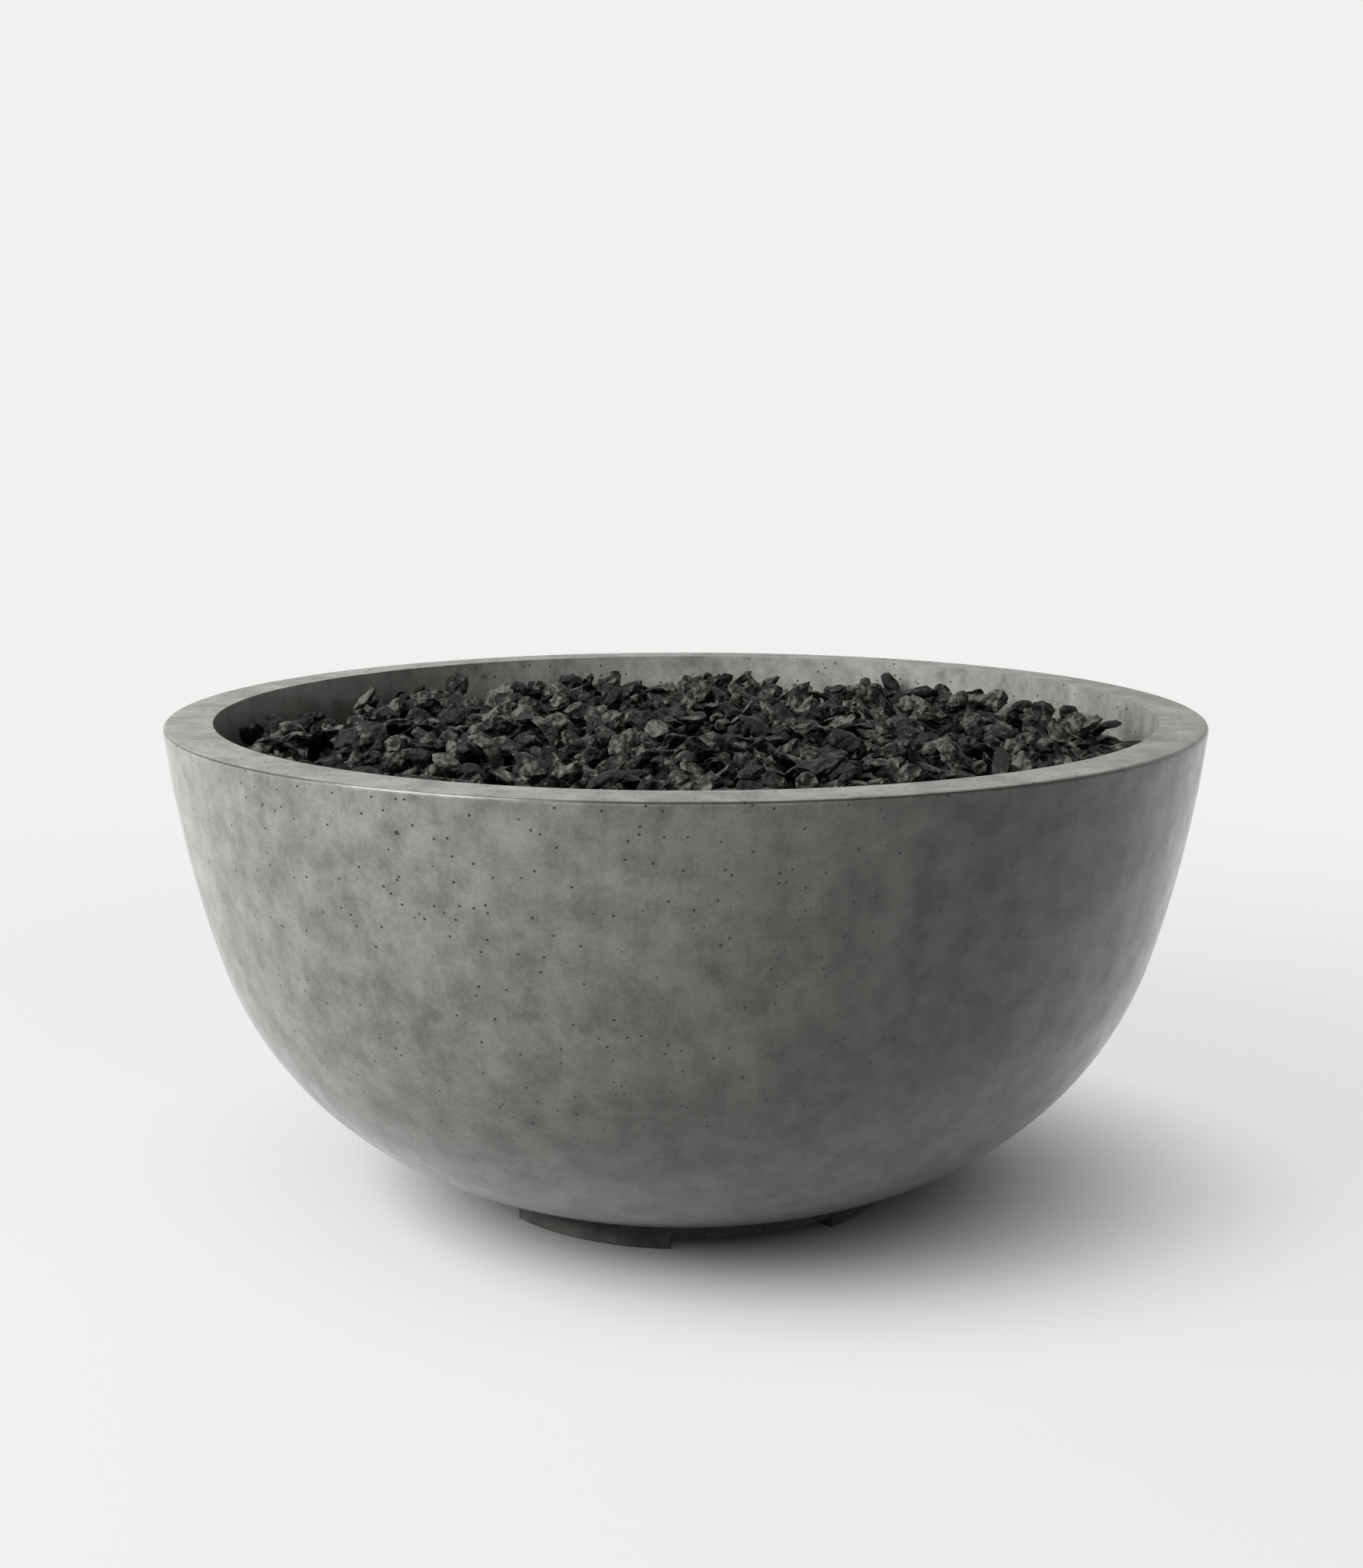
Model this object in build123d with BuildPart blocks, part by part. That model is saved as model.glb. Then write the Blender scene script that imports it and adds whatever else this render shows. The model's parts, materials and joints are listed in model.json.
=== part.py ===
from build123d import *

import os
import random
from math import asin, atan2, cos, hypot, pi, radians, sin, sqrt, tan

# Gas fire pit bowl: a concrete bowl on a notched foot ring, with a drop-in burner pan under lava stones
# and a key valve in the rear wall. Millimetres, +Z up, the origin on the ground under the bowl's centre,
# the rear (the valve's side) towards +Y.

os.makedirs("parts", exist_ok=True)

# Concrete bowl. Leans are degrees from upright. The side is two tangent arcs, the lower one ending level.
rim_radius = 368.3
wall = 33.3
rim_lean = 5.73
side_arc_radius = 851.0
base_lean = 16.78
base_arc_radius = 248.4
ground_gap = 12.7
rim_edge_radius = 2.5

# Ledge cast inside the bowl for the burner pan
ledge_drop = 60.0
ledge_width = 20.0
ledge_nose = 10.0

# Foot ring. Angles are degrees from +X.
foot_outer_radius = 156.0
foot_ring_width = 44.0
foot_height = 26.0
foot_edge_radius = 1.2
notch_count = 4
notch_depth = 8.0
notch_width_angle = 45.0
first_notch_angle = 18.5
bedding_gap = 0.5

# Sleeve in the base hole for the house gas line
sleeve_bore_radius = 38.0
sleeve_wall = 4.0
sleeve_lip = 4.0
sleeve_lip_height = 3.0

# Burner pan
sheet = 1.5
pan_depth = 25.0
pan_edge_gap = 2.0
pan_well_gap = 3.0
weep_hole_radius = 4.0
weep_hole_count = 3
weep_hole_place_share = 0.87

# Ring burner, folded from channel
channel_width = 19.0
channel_height = 19.0
channel_wall = 1.6
inner_ring_radius = 70.0
ring_pitch = 74.0
ring_count = 3
burner_lift = 2.0
hub_radius = 15.0
hub_height = 24.0
hub_roof = 3.0
port_radius = 1.6
port_pitch = 42.0

# Half-inch pipe nipple and the nut that clamps the burner to the pan
pipe_radius = 10.5
pipe_bore_radius = 8.0
pipe_length = 48.0
thread_gap = 0.15
washer_thickness = 1.5
pan_washer_radius = 20.0
locknut_across = 30.0
locknut_height = 7.0

# Air mixer, its shutter and the orifice
mixer_radius = 16.0
mixer_length = 78.0
mixer_throat_radius = 8.0
mixer_chamber_radius = 12.0
mixer_socket_depth = 16.0
mixer_collar_radius = 20.0
mixer_collar_height = 5.0
window_count = 4
window_angle = 44.0
window_height = 24.0
window_rise = 8.0
shutter_wall = 2.0
shutter_height = 42.0
running_gap = 0.08
seat_gap = 0.3
screw_radius = 2.0
screw_head_radius = 5.0
screw_head_height = 8.0
screw_length = 3.0
screw_drop = 5.0
flare_radius = 9.5
flare_length = 14.0
flare_bore_radius = 5.5
adapter_across = 24.0
adapter_hex_height = 8.0
adapter_thread_length = 10.0
orifice_radius = 6.0
orifice_length = 20.0
orifice_hole_radius = 1.3
orifice_thread_length = 8.0

# Flexible gas hose and its nuts
hose_radius = 8.0
hose_bore_radius = 6.3
hose_bend_radius = 48.0
hose_sweep_radius = 120.0
hose_floor_gap = 8.7
hose_corner_share = 1.65
hose_middle_shares = (0.45, 0.37, 0.2)
nut_across = 25.0
nut_length = 24.0
nut_cover = 12.0
nut_gap = 0.3

# Key valve in the rear wall. Depths run inwards along the stem's axis from the wall's face.
valve_drop = 150.0
outer_seat_depth = 2.0
inner_seat_depth = 3.0
seat_face_radius = 31.0
escutcheon_radius = 28.0
escutcheon_thickness = 4.0
escutcheon_edge_radius = 1.5
key_hole_radius = 9.5
sleeve_radius = 14.0
sleeve_inner_radius = 11.0
sleeve_hole_gap = 0.8
sleeve_washer_radius = 26.0
sleeve_nut_across = 38.0
sleeve_nut_height = 8.0
sleeve_tail = 4.0
bonnet_radius = 14.0
neck_radius = 10.8
neck_length = 12.0
valve_axis_depth = 22.0
valve_barrel_radius = 17.0
valve_barrel_half = 26.0
ball_radius = 11.0
ball_bore_radius = 6.0
ball_gap = 0.1
seat_outer_radius = 12.0
seat_inner_radius = 7.0
seat_length = 6.0
end_piece_hex_length = 9.0
end_piece_across = 26.0
stem_radius = 5.0
stem_gap = 0.05
stem_collar_radius = 6.5
stem_collar_height = 3.0
tang_width = 4.0
tang_depth = 4.5
tang_length = 9.0
key_square = 6.8
key_square_length = 12.0
stem_recess = 14.0
packing_radius = 9.0
packing_height = 5.0
o_ring_section = 1.1
o_ring_count = 2
o_ring_pitch = 4.0

# Lava stones: two layers laid out on a sunflower spiral
stone_seed = 11
stone_step = 21.0
stone_reach_share = 0.76
stone_points = 12
stone_thin_share = 0.72
stone_fill_share = 0.96
stone_rough_share = 0.85
stone_round_power = 0.6
stone_gap = 1.0
lower_layer_height = 27.0
upper_layer_height = 32.0
upper_layer_spread = 5.0
bed_crown = 8.0

# How far a cutting shape runs past what it cuts
overrun = 5.0

# The bowl's arcs: centres in the half section, and the lean at any height
rim_angle = radians(rim_lean)
base_angle = radians(base_lean)
bowl_depth = side_arc_radius * (sin(base_angle) - sin(rim_angle)) + base_arc_radius * (1 - sin(base_angle))
rim_z = ground_gap + bowl_depth
side_centre_x = rim_radius - side_arc_radius * cos(rim_angle)
side_centre_z = rim_z + side_arc_radius * sin(rim_angle)
base_centre_x = side_centre_x + (side_arc_radius - base_arc_radius) * cos(base_angle)
base_centre_z = ground_gap + base_arc_radius


def side_point(lean, depth):
    """A point of the side arc, depth inside the outer face, in the half section."""
    radius = side_arc_radius - depth
    return side_centre_x + radius * cos(lean), side_centre_z - radius * sin(lean)


def base_point(lean, depth):
    """A point of the base arc, depth inside the outer face, in the half section."""
    radius = base_arc_radius - depth
    return base_centre_x + radius * cos(lean), base_centre_z - radius * sin(lean)


def lean_at(z, depth):
    """Lean of the wall where its face, depth inside the outer one, is at height z."""
    side_lean = asin((side_centre_z - z) / (side_arc_radius - depth))
    if side_lean <= base_angle:
        return side_lean
    return asin((base_centre_z - z) / (base_arc_radius - depth))


def wall_radius(z, depth):
    """Radius of the wall's face, depth inside the outer one, at height z."""
    lean = lean_at(z, depth)
    if lean <= base_angle:
        return side_point(lean, depth)[0]
    return base_point(lean, depth)[0]


def bowl_section(depth, top_z):
    """Half section of the bowl's face, depth inside the outer one, filled to the axis up to top_z."""
    top_lean = lean_at(top_z, depth)
    floor_z = ground_gap + depth
    with BuildSketch(Plane.XZ) as section:
        with BuildLine():
            ThreePointArc(
                side_point(top_lean, depth),
                side_point((top_lean + base_angle) / 2, depth),
                side_point(base_angle, depth),
            )
            ThreePointArc(
                side_point(base_angle, depth),
                base_point((base_angle + pi / 2) / 2, depth),
                base_point(pi / 2, depth),
            )
            Polyline(base_point(pi / 2, depth), (0, floor_z), (0, top_z), side_point(top_lean, depth))
        make_face()
    return section.sketch


def hexagon(across, plane, height, bore_radius):
    """A hexagon nut blank with a bore, standing on a plane."""
    with BuildPart() as blank:
        with BuildSketch(plane):
            RegularPolygon(across / 2, side_count=6, major_radius=False)
            Circle(bore_radius, mode=Mode.SUBTRACT)
        extrude(amount=height)
    return blank.part


def tube(radius, bore_radius, plane, height):
    """A round tube standing on a plane."""
    with BuildPart() as blank:
        with BuildSketch(plane):
            Circle(radius)
            Circle(bore_radius, mode=Mode.SUBTRACT)
        extrude(amount=height)
    return blank.part


# The valve stands square to the rear wall, valve_drop below the rim
valve_lean = lean_at(rim_z - valve_drop, 0)
valve_face = Plane(
    origin=(0, wall_radius(rim_z - valve_drop, 0), rim_z - valve_drop),
    x_dir=(1, 0, 0),
    z_dir=(0, cos(valve_lean), -sin(valve_lean)),
)
seat_plane = valve_face.offset(-outer_seat_depth)
inner_seat_plane = valve_face.offset(inner_seat_depth - wall)
sleeve_nut_plane = inner_seat_plane.offset(-washer_thickness - sleeve_nut_height)
sleeve_end_plane = sleeve_nut_plane.offset(-sleeve_tail)
flow_plane = sleeve_end_plane.offset(-valve_axis_depth)
valve_centre = flow_plane.origin
across_plane = Plane(origin=valve_centre, x_dir=valve_face.z_dir, z_dir=(1, 0, 0))

# Bowl shell
ledge_z = rim_z - ledge_drop
ledge_wall_radius = wall_radius(ledge_z, wall)
ledge_radius = ledge_wall_radius - ledge_width
ledge_foot_z = ledge_z - ledge_nose - ledge_width
foot_inner_radius = foot_outer_radius - foot_ring_width
sleeve_hole_radius = sleeve_bore_radius + sleeve_wall + thread_gap

with BuildPart() as bowl_shell:
    revolve(bowl_section(0, rim_z), axis=Axis.Z)
    revolve(bowl_section(wall, rim_z + overrun), axis=Axis.Z, mode=Mode.SUBTRACT)
    with BuildSketch(Plane.XZ):
        with BuildLine():
            Polyline(
                (ledge_wall_radius + ledge_width / 2, ledge_z),
                (ledge_radius, ledge_z),
                (ledge_radius, ledge_z - ledge_nose),
                (wall_radius(ledge_foot_z, wall), ledge_foot_z),
                (wall_radius(ledge_foot_z, wall) + ledge_width / 2, ledge_foot_z),
                close=True,
            )
        make_face()
    revolve(axis=Axis.Z)
    fillet(bowl_shell.edges().filter_by(GeomType.CIRCLE).group_by(Axis.Z)[-1], rim_edge_radius)
    with BuildSketch():
        Circle(sleeve_hole_radius)
    extrude(amount=ground_gap + wall + overrun, mode=Mode.SUBTRACT)
    with BuildSketch():
        Circle(foot_outer_radius + bedding_gap)
        Circle(foot_inner_radius - bedding_gap, mode=Mode.SUBTRACT)
    extrude(amount=foot_height, mode=Mode.SUBTRACT)
    with BuildSketch(valve_face.offset(overrun)):
        Circle(sleeve_radius + sleeve_hole_gap)
    extrude(amount=-(wall + 2 * overrun), mode=Mode.SUBTRACT)
    with BuildSketch(seat_plane):
        Circle(seat_face_radius)
    extrude(amount=outer_seat_depth + overrun, mode=Mode.SUBTRACT)
    with BuildSketch(inner_seat_plane):
        Circle(seat_face_radius)
    extrude(amount=-(inner_seat_depth + overrun), mode=Mode.SUBTRACT)
bowl_shell.part.label = "bowl_shell"
export_step(bowl_shell.part, "parts/bowl_shell.step")

# Foot ring, cut by the notches into four pads
notch_reach = foot_outer_radius + overrun
notch_half = notch_reach * tan(radians(notch_width_angle / 2))
with BuildPart() as foot_ring:
    with BuildSketch():
        Circle(foot_outer_radius)
        Circle(foot_inner_radius, mode=Mode.SUBTRACT)
    extrude(amount=foot_height)
    with BuildSketch():
        with PolarLocations(0, notch_count, start_angle=first_notch_angle):
            Polygon((0, 0), (notch_reach, -notch_half), (notch_reach, notch_half), align=None)
    extrude(amount=notch_depth, mode=Mode.SUBTRACT)
    pad_edges = foot_ring.edges().group_by(Axis.Z)[0].filter_by(GeomType.CIRCLE)
    chamfer(pad_edges, foot_edge_radius)
foot_ring.part.label = "foot_ring"
export_step(foot_ring.part, "parts/foot_ring.step")

# Sleeve in the base hole, with a lip on the bowl's floor
floor_z = ground_gap + wall
with BuildPart() as base_sleeve:
    add(tube(sleeve_bore_radius + sleeve_wall, sleeve_bore_radius, Plane.XY.offset(ground_gap), wall))
    lip_radius = sleeve_bore_radius + sleeve_wall + sleeve_lip
    add(tube(lip_radius, sleeve_bore_radius, Plane.XY.offset(floor_z), sleeve_lip_height))
base_sleeve.part.label = "base_sleeve"
export_step(base_sleeve.part, "parts/base_sleeve.step")

# Burner pan, hung by its flange on the ledge
pan_flange_radius = ledge_wall_radius - pan_edge_gap
pan_well_radius = ledge_radius - pan_well_gap
pan_under_z = ledge_z - pan_depth
pan_floor_z = pan_under_z + sheet
with BuildPart() as burner_pan:
    with BuildSketch(Plane.XZ):
        with BuildLine():
            Polyline(
                (0, pan_under_z),
                (pan_well_radius, pan_under_z),
                (pan_well_radius, ledge_z),
                (pan_flange_radius, ledge_z),
                (pan_flange_radius, ledge_z + sheet),
                (pan_well_radius - sheet, ledge_z + sheet),
                (pan_well_radius - sheet, pan_floor_z),
                (0, pan_floor_z),
                close=True,
            )
        make_face()
    revolve(axis=Axis.Z)
    with BuildSketch(Plane.XY.offset(pan_under_z)):
        Circle(pipe_radius + thread_gap)
        with PolarLocations(pan_well_radius * weep_hole_place_share, weep_hole_count):
            Circle(weep_hole_radius)
    extrude(amount=sheet, mode=Mode.SUBTRACT)
burner_pan.part.label = "burner_pan"
export_step(burner_pan.part, "parts/burner_pan.step")

# Ring burner: channel rings on a cross of spokes, and the hub that stands on the pan
burner_foot_z = pan_floor_z + burner_lift
burner_top_z = burner_foot_z + channel_height
ring_radii = [inner_ring_radius + index * ring_pitch for index in range(ring_count)]
outer_ring_radius = ring_radii[-1]


def burner_plan(plane, half_width):
    """Plan of the rings and spokes, half_width to each side of their centre lines."""
    with BuildSketch(plane) as plan:
        for ring_radius in reversed(ring_radii):
            Circle(ring_radius + half_width)
            Circle(ring_radius - half_width, mode=Mode.SUBTRACT)
        Rectangle(2 * outer_ring_radius, 2 * half_width)
        Rectangle(2 * half_width, 2 * outer_ring_radius)
    return plan.sketch


with BuildPart() as burner_ring:
    extrude(burner_plan(Plane.XY.offset(burner_foot_z), channel_width / 2), amount=channel_height)
    with BuildSketch(Plane.XY.offset(pan_floor_z)):
        Circle(hub_radius)
    extrude(amount=hub_height)
    gas_way = burner_plan(Plane.XY.offset(burner_foot_z + channel_wall), channel_width / 2 - channel_wall)
    extrude(gas_way, amount=channel_height - 2 * channel_wall, mode=Mode.SUBTRACT)
    with BuildSketch(Plane.XY.offset(pan_floor_z)):
        Circle(pipe_radius + thread_gap)
    extrude(amount=hub_height - hub_roof, mode=Mode.SUBTRACT)
    with BuildSketch(Plane.XY.offset(burner_top_z - channel_wall)):
        for ring_radius in ring_radii:
            port_count = round(2 * pi * ring_radius / port_pitch)
            with PolarLocations(ring_radius, port_count, start_angle=180 / port_count):
                Circle(port_radius)
    extrude(amount=channel_wall, mode=Mode.SUBTRACT)
burner_ring.part.label = "burner_ring"
export_step(burner_ring.part, "parts/burner_ring.step")

# Pipe nipple up into the hub, with the washer and locknut under the pan
pipe_top_z = burner_foot_z + channel_wall
pipe_foot_z = pipe_top_z - pipe_length
with BuildPart() as burner_nipple:
    add(tube(pipe_radius, pipe_bore_radius, Plane.XY.offset(pipe_foot_z), pipe_length))
burner_nipple.part.label = "burner_nipple"
export_step(burner_nipple.part, "parts/burner_nipple.step")

pan_washer_z = pan_under_z - washer_thickness
pan_locknut_z = pan_washer_z - locknut_height
with BuildPart() as pan_washer:
    add(tube(pan_washer_radius, pipe_radius + thread_gap, Plane.XY.offset(pan_washer_z), washer_thickness))
pan_washer.part.label = "pan_washer"
export_step(pan_washer.part, "parts/pan_washer.step")

with BuildPart() as pan_locknut:
    add(hexagon(locknut_across, Plane.XY.offset(pan_locknut_z), locknut_height, pipe_radius + thread_gap))
pan_locknut.part.label = "pan_locknut"
export_step(pan_locknut.part, "parts/pan_locknut.step")

# Air mixer: a socket for the nipple, a throat and a chamber with air windows
mixer_top_z = pipe_foot_z + mixer_socket_depth
mixer_foot_z = mixer_top_z - mixer_length
window_z = mixer_foot_z + mixer_collar_height + window_rise
window_half = (mixer_radius + overrun) * tan(radians(window_angle / 2))


def cut_windows(inner_radius):
    """Sketch of the air windows: wedges that start at inner_radius."""
    with BuildSketch(Plane.XY.offset(window_z)) as windows:
        with PolarLocations(0, window_count):
            reach = mixer_radius + overrun
            Polygon((0, 0), (reach, -window_half), (reach, window_half), align=None)
        Circle(inner_radius, mode=Mode.SUBTRACT)
    return windows.sketch


with BuildPart() as mixer_body:
    with BuildSketch(Plane.XY.offset(mixer_foot_z)):
        Circle(mixer_collar_radius)
    extrude(amount=mixer_collar_height)
    with BuildSketch(Plane.XY.offset(mixer_foot_z)):
        Circle(mixer_radius)
    extrude(amount=mixer_length)
    with BuildSketch(Plane.XY.offset(mixer_foot_z)):
        Circle(mixer_throat_radius)
    extrude(amount=mixer_length, mode=Mode.SUBTRACT)
    with BuildSketch(Plane.XY.offset(mixer_foot_z)):
        Circle(mixer_chamber_radius)
    extrude(amount=mixer_collar_height + window_rise + window_height, mode=Mode.SUBTRACT)
    with BuildSketch(Plane.XY.offset(pipe_foot_z)):
        Circle(pipe_radius + thread_gap)
    extrude(amount=mixer_socket_depth, mode=Mode.SUBTRACT)
    extrude(cut_windows(mixer_chamber_radius / 2), amount=window_height, mode=Mode.SUBTRACT)
mixer_body.part.label = "mixer_body"
export_step(mixer_body.part, "parts/mixer_body.step")

# Air shutter: a sleeve with matching windows that turns on the mixer, and its thumb screw
shutter_z = mixer_foot_z + mixer_collar_height + seat_gap
shutter_inner_radius = mixer_radius + running_gap
shutter_radius = shutter_inner_radius + shutter_wall
screw_z = shutter_z + shutter_height - screw_drop
screw_plane = Plane(origin=(0, 0, screw_z), x_dir=(1, 0, 0), z_dir=(0, -1, 0))
screw_tip = shutter_inner_radius + seat_gap
with BuildPart() as air_shutter:
    add(tube(shutter_radius, shutter_inner_radius, Plane.XY.offset(shutter_z), shutter_height))
    extrude(cut_windows(mixer_chamber_radius / 2), amount=window_height, mode=Mode.SUBTRACT)
    with BuildSketch(screw_plane):
        Circle(screw_radius + thread_gap)
    extrude(amount=shutter_radius + overrun, mode=Mode.SUBTRACT)
air_shutter.part.label = "air_shutter"
export_step(air_shutter.part, "parts/air_shutter.step")

with BuildPart() as shutter_screw:
    with BuildSketch(screw_plane.offset(screw_tip)):
        Circle(screw_radius)
    extrude(amount=shutter_radius + screw_length - screw_tip)
    with BuildSketch(screw_plane.offset(shutter_radius + screw_length)):
        Circle(screw_head_radius)
    extrude(amount=screw_head_height)
shutter_screw.part.label = "shutter_screw"
export_step(shutter_screw.part, "parts/shutter_screw.step")

# Flare adapter under the mixer, and the orifice that it holds
adapter_hex_z = mixer_foot_z - adapter_hex_height
flare_end_z = adapter_hex_z - flare_length
adapter_top_z = mixer_foot_z + adapter_thread_length
orifice_seat_z = adapter_top_z - orifice_thread_length
with BuildPart() as mixer_inlet:
    with BuildSketch(Plane.XY.offset(flare_end_z)):
        Circle(flare_radius)
    extrude(amount=flare_length)
    with BuildSketch(Plane.XY.offset(adapter_hex_z)):
        RegularPolygon(adapter_across / 2, side_count=6, major_radius=False)
    extrude(amount=adapter_hex_height)
    with BuildSketch(Plane.XY.offset(mixer_foot_z)):
        Circle(mixer_chamber_radius - thread_gap)
    extrude(amount=adapter_thread_length)
    with BuildSketch(Plane.XY.offset(flare_end_z)):
        Circle(flare_bore_radius)
    extrude(amount=adapter_top_z - flare_end_z, mode=Mode.SUBTRACT)
    with BuildSketch(Plane.XY.offset(orifice_seat_z)):
        Circle(orifice_radius + thread_gap)
    extrude(amount=orifice_thread_length, mode=Mode.SUBTRACT)
mixer_inlet.part.label = "mixer_inlet"
export_step(mixer_inlet.part, "parts/mixer_inlet.step")

with BuildPart() as orifice:
    with BuildSketch(Plane.XY.offset(orifice_seat_z)):
        Circle(orifice_radius)
    extrude(amount=orifice_length)
    chamfer(orifice.edges().group_by(Axis.Z)[-1], orifice_radius / 2)
    with BuildSketch(Plane.XY.offset(orifice_seat_z)):
        Circle(orifice_hole_radius)
    extrude(amount=orifice_length, mode=Mode.SUBTRACT)
    with BuildSketch(Plane.XY.offset(orifice_seat_z)):
        Circle(flare_bore_radius - channel_wall)
    extrude(amount=orifice_length / 2, mode=Mode.SUBTRACT)
orifice.part.label = "orifice"
export_step(orifice.part, "parts/orifice.step")

# Key valve body: barrel along X, bonnet and neck out towards the wall
flare_reach = valve_barrel_half + flare_length
end_hex_reach = valve_barrel_half + end_piece_hex_length
outlet_reach = end_hex_reach + flare_length
with BuildPart() as valve_body:
    with BuildSketch(across_plane.offset(-valve_barrel_half)):
        Circle(valve_barrel_radius)
    extrude(amount=2 * valve_barrel_half)
    with BuildSketch(flow_plane):
        Circle(bonnet_radius)
    extrude(amount=valve_axis_depth)
    with BuildSketch(sleeve_end_plane):
        Circle(neck_radius)
    extrude(amount=neck_length)
    with BuildSketch(across_plane.offset(-flare_reach)):
        Circle(flare_radius)
    extrude(amount=flare_length)
    with BuildSketch(across_plane.offset(-flare_reach)):
        Circle(seat_inner_radius)
    extrude(amount=flare_reach, mode=Mode.SUBTRACT)
    with BuildSketch(across_plane.offset(-(ball_radius + seat_length / 2))):
        Circle(seat_outer_radius + thread_gap)
    extrude(amount=ball_radius + seat_length / 2 + valve_barrel_half, mode=Mode.SUBTRACT)
    with BuildSketch(flow_plane):
        Circle(stem_radius + stem_gap)
    extrude(amount=valve_axis_depth + neck_length, mode=Mode.SUBTRACT)
    with BuildSketch(flow_plane):
        Circle(stem_collar_radius + stem_gap)
    extrude(amount=ball_radius + stem_collar_height, mode=Mode.SUBTRACT)
valve_body.part.label = "valve_body"
export_step(valve_body.part, "parts/valve_body.step")

# Ball with its bore and the slot for the stem's tang. At rest the valve is shut: the bore stands across.
slot_floor = ball_radius - tang_depth
with BuildPart() as valve_ball:
    with BuildSketch(across_plane):
        with BuildLine():
            ThreePointArc((ball_radius, 0), (0, ball_radius), (-ball_radius, 0))
            Line((-ball_radius, 0), (ball_radius, 0))
        make_face()
    revolve(axis=Axis(valve_centre, valve_face.z_dir))
    with BuildSketch(Plane(origin=valve_centre, x_dir=(1, 0, 0), z_dir=valve_face.y_dir)):
        Circle(ball_bore_radius)
    extrude(amount=ball_radius + overrun, both=True, mode=Mode.SUBTRACT)
    with BuildSketch(flow_plane.offset(slot_floor)):
        Rectangle(tang_width + 2 * thread_gap, 2 * ball_radius)
    extrude(amount=tang_depth, mode=Mode.SUBTRACT)
valve_ball.part.label = "valve_ball"
export_step(valve_ball.part, "parts/valve_ball.step")

# Stem: tang, collar, two grooves for the sealing rings and a square end for the key
neck_end_plane = sleeve_end_plane.offset(neck_length)
stem_end_plane = valve_face.offset(-outer_seat_depth - stem_recess)
collar_plane = flow_plane.offset(ball_radius + ball_gap)
square_plane = stem_end_plane.offset(-key_square_length)
stem_foot = flow_plane.offset(slot_floor + thread_gap)
groove_depth = 2 * o_ring_section + thread_gap
with BuildPart() as valve_stem:
    with BuildSketch(collar_plane):
        Circle(stem_radius)
    extrude(amount=(square_plane.origin - collar_plane.origin).length)
    with BuildSketch(square_plane):
        Rectangle(key_square, key_square)
    extrude(amount=key_square_length)
    with BuildSketch(collar_plane):
        Circle(stem_collar_radius)
    extrude(amount=stem_collar_height - ball_gap - running_gap)
    with BuildSketch(stem_foot):
        Rectangle(tang_width, tang_length)
    extrude(amount=tang_depth - thread_gap + ball_gap)
    for index in range(o_ring_count):
        with BuildSketch(sleeve_end_plane.offset(index * o_ring_pitch)):
            Circle(stem_radius + overrun)
            Circle(stem_radius - groove_depth, mode=Mode.SUBTRACT)
        extrude(amount=2 * o_ring_section + thread_gap, mode=Mode.SUBTRACT)
valve_stem.part.label = "valve_stem"
export_step(valve_stem.part, "parts/valve_stem.step")

o_ring_radius = stem_radius - o_ring_section
with BuildPart() as stem_o_rings:
    for index in range(o_ring_count):
        ring_plane = sleeve_end_plane.offset(index * o_ring_pitch + o_ring_section + thread_gap / 2)
        with Locations(ring_plane):
            Torus(o_ring_radius, o_ring_section)
stem_o_rings.part.label = "stem_o_rings"
export_step(stem_o_rings.part, "parts/stem_o_rings.step")

# Packing nut over the stem, on the end of the neck
with BuildPart() as packing_nut:
    add(tube(packing_radius, stem_radius + running_gap, neck_end_plane, packing_height))
packing_nut.part.label = "packing_nut"
export_step(packing_nut.part, "parts/packing_nut.step")

# Seat rings on both sides of the ball, hollowed to its curve
seat_start = ball_radius - seat_length / 2
seat_end = ball_radius + seat_length / 2
seat_curve = ball_radius + ball_gap
curve_low = (sqrt(seat_curve**2 - seat_inner_radius**2), seat_inner_radius)
curve_high = (seat_start, sqrt(seat_curve**2 - seat_start**2))
curve_angle = (atan2(curve_low[1], curve_low[0]) + atan2(curve_high[1], curve_high[0])) / 2
with BuildPart() as valve_seats:
    for side in (-1, 1):
        with BuildSketch(Plane(origin=valve_centre, x_dir=(side, 0, 0), z_dir=valve_face.z_dir)):
            with BuildLine():
                Polyline(
                    curve_low,
                    (seat_end, seat_inner_radius),
                    (seat_end, seat_outer_radius),
                    (seat_start, seat_outer_radius),
                    curve_high,
                )
                ThreePointArc(
                    curve_high,
                    (seat_curve * cos(curve_angle), seat_curve * sin(curve_angle)),
                    curve_low,
                )
            make_face()
        revolve(axis=Axis(valve_centre, (1, 0, 0)))
valve_seats.part.label = "valve_seats"
export_step(valve_seats.part, "parts/valve_seats.step")

# Screwed end piece: holds the seats in and carries the outlet flare
with BuildPart() as valve_end_piece:
    with BuildSketch(across_plane.offset(seat_end)):
        Circle(seat_outer_radius)
    extrude(amount=valve_barrel_half - seat_end)
    with BuildSketch(across_plane.offset(valve_barrel_half)):
        RegularPolygon(end_piece_across / 2, side_count=6, major_radius=False)
    extrude(amount=end_piece_hex_length)
    with BuildSketch(across_plane.offset(end_hex_reach)):
        Circle(flare_radius)
    extrude(amount=flare_length)
    with BuildSketch(across_plane.offset(seat_end)):
        Circle(seat_inner_radius)
    extrude(amount=outlet_reach - seat_end, mode=Mode.SUBTRACT)
valve_end_piece.part.label = "valve_end_piece"
export_step(valve_end_piece.part, "parts/valve_end_piece.step")

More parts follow.
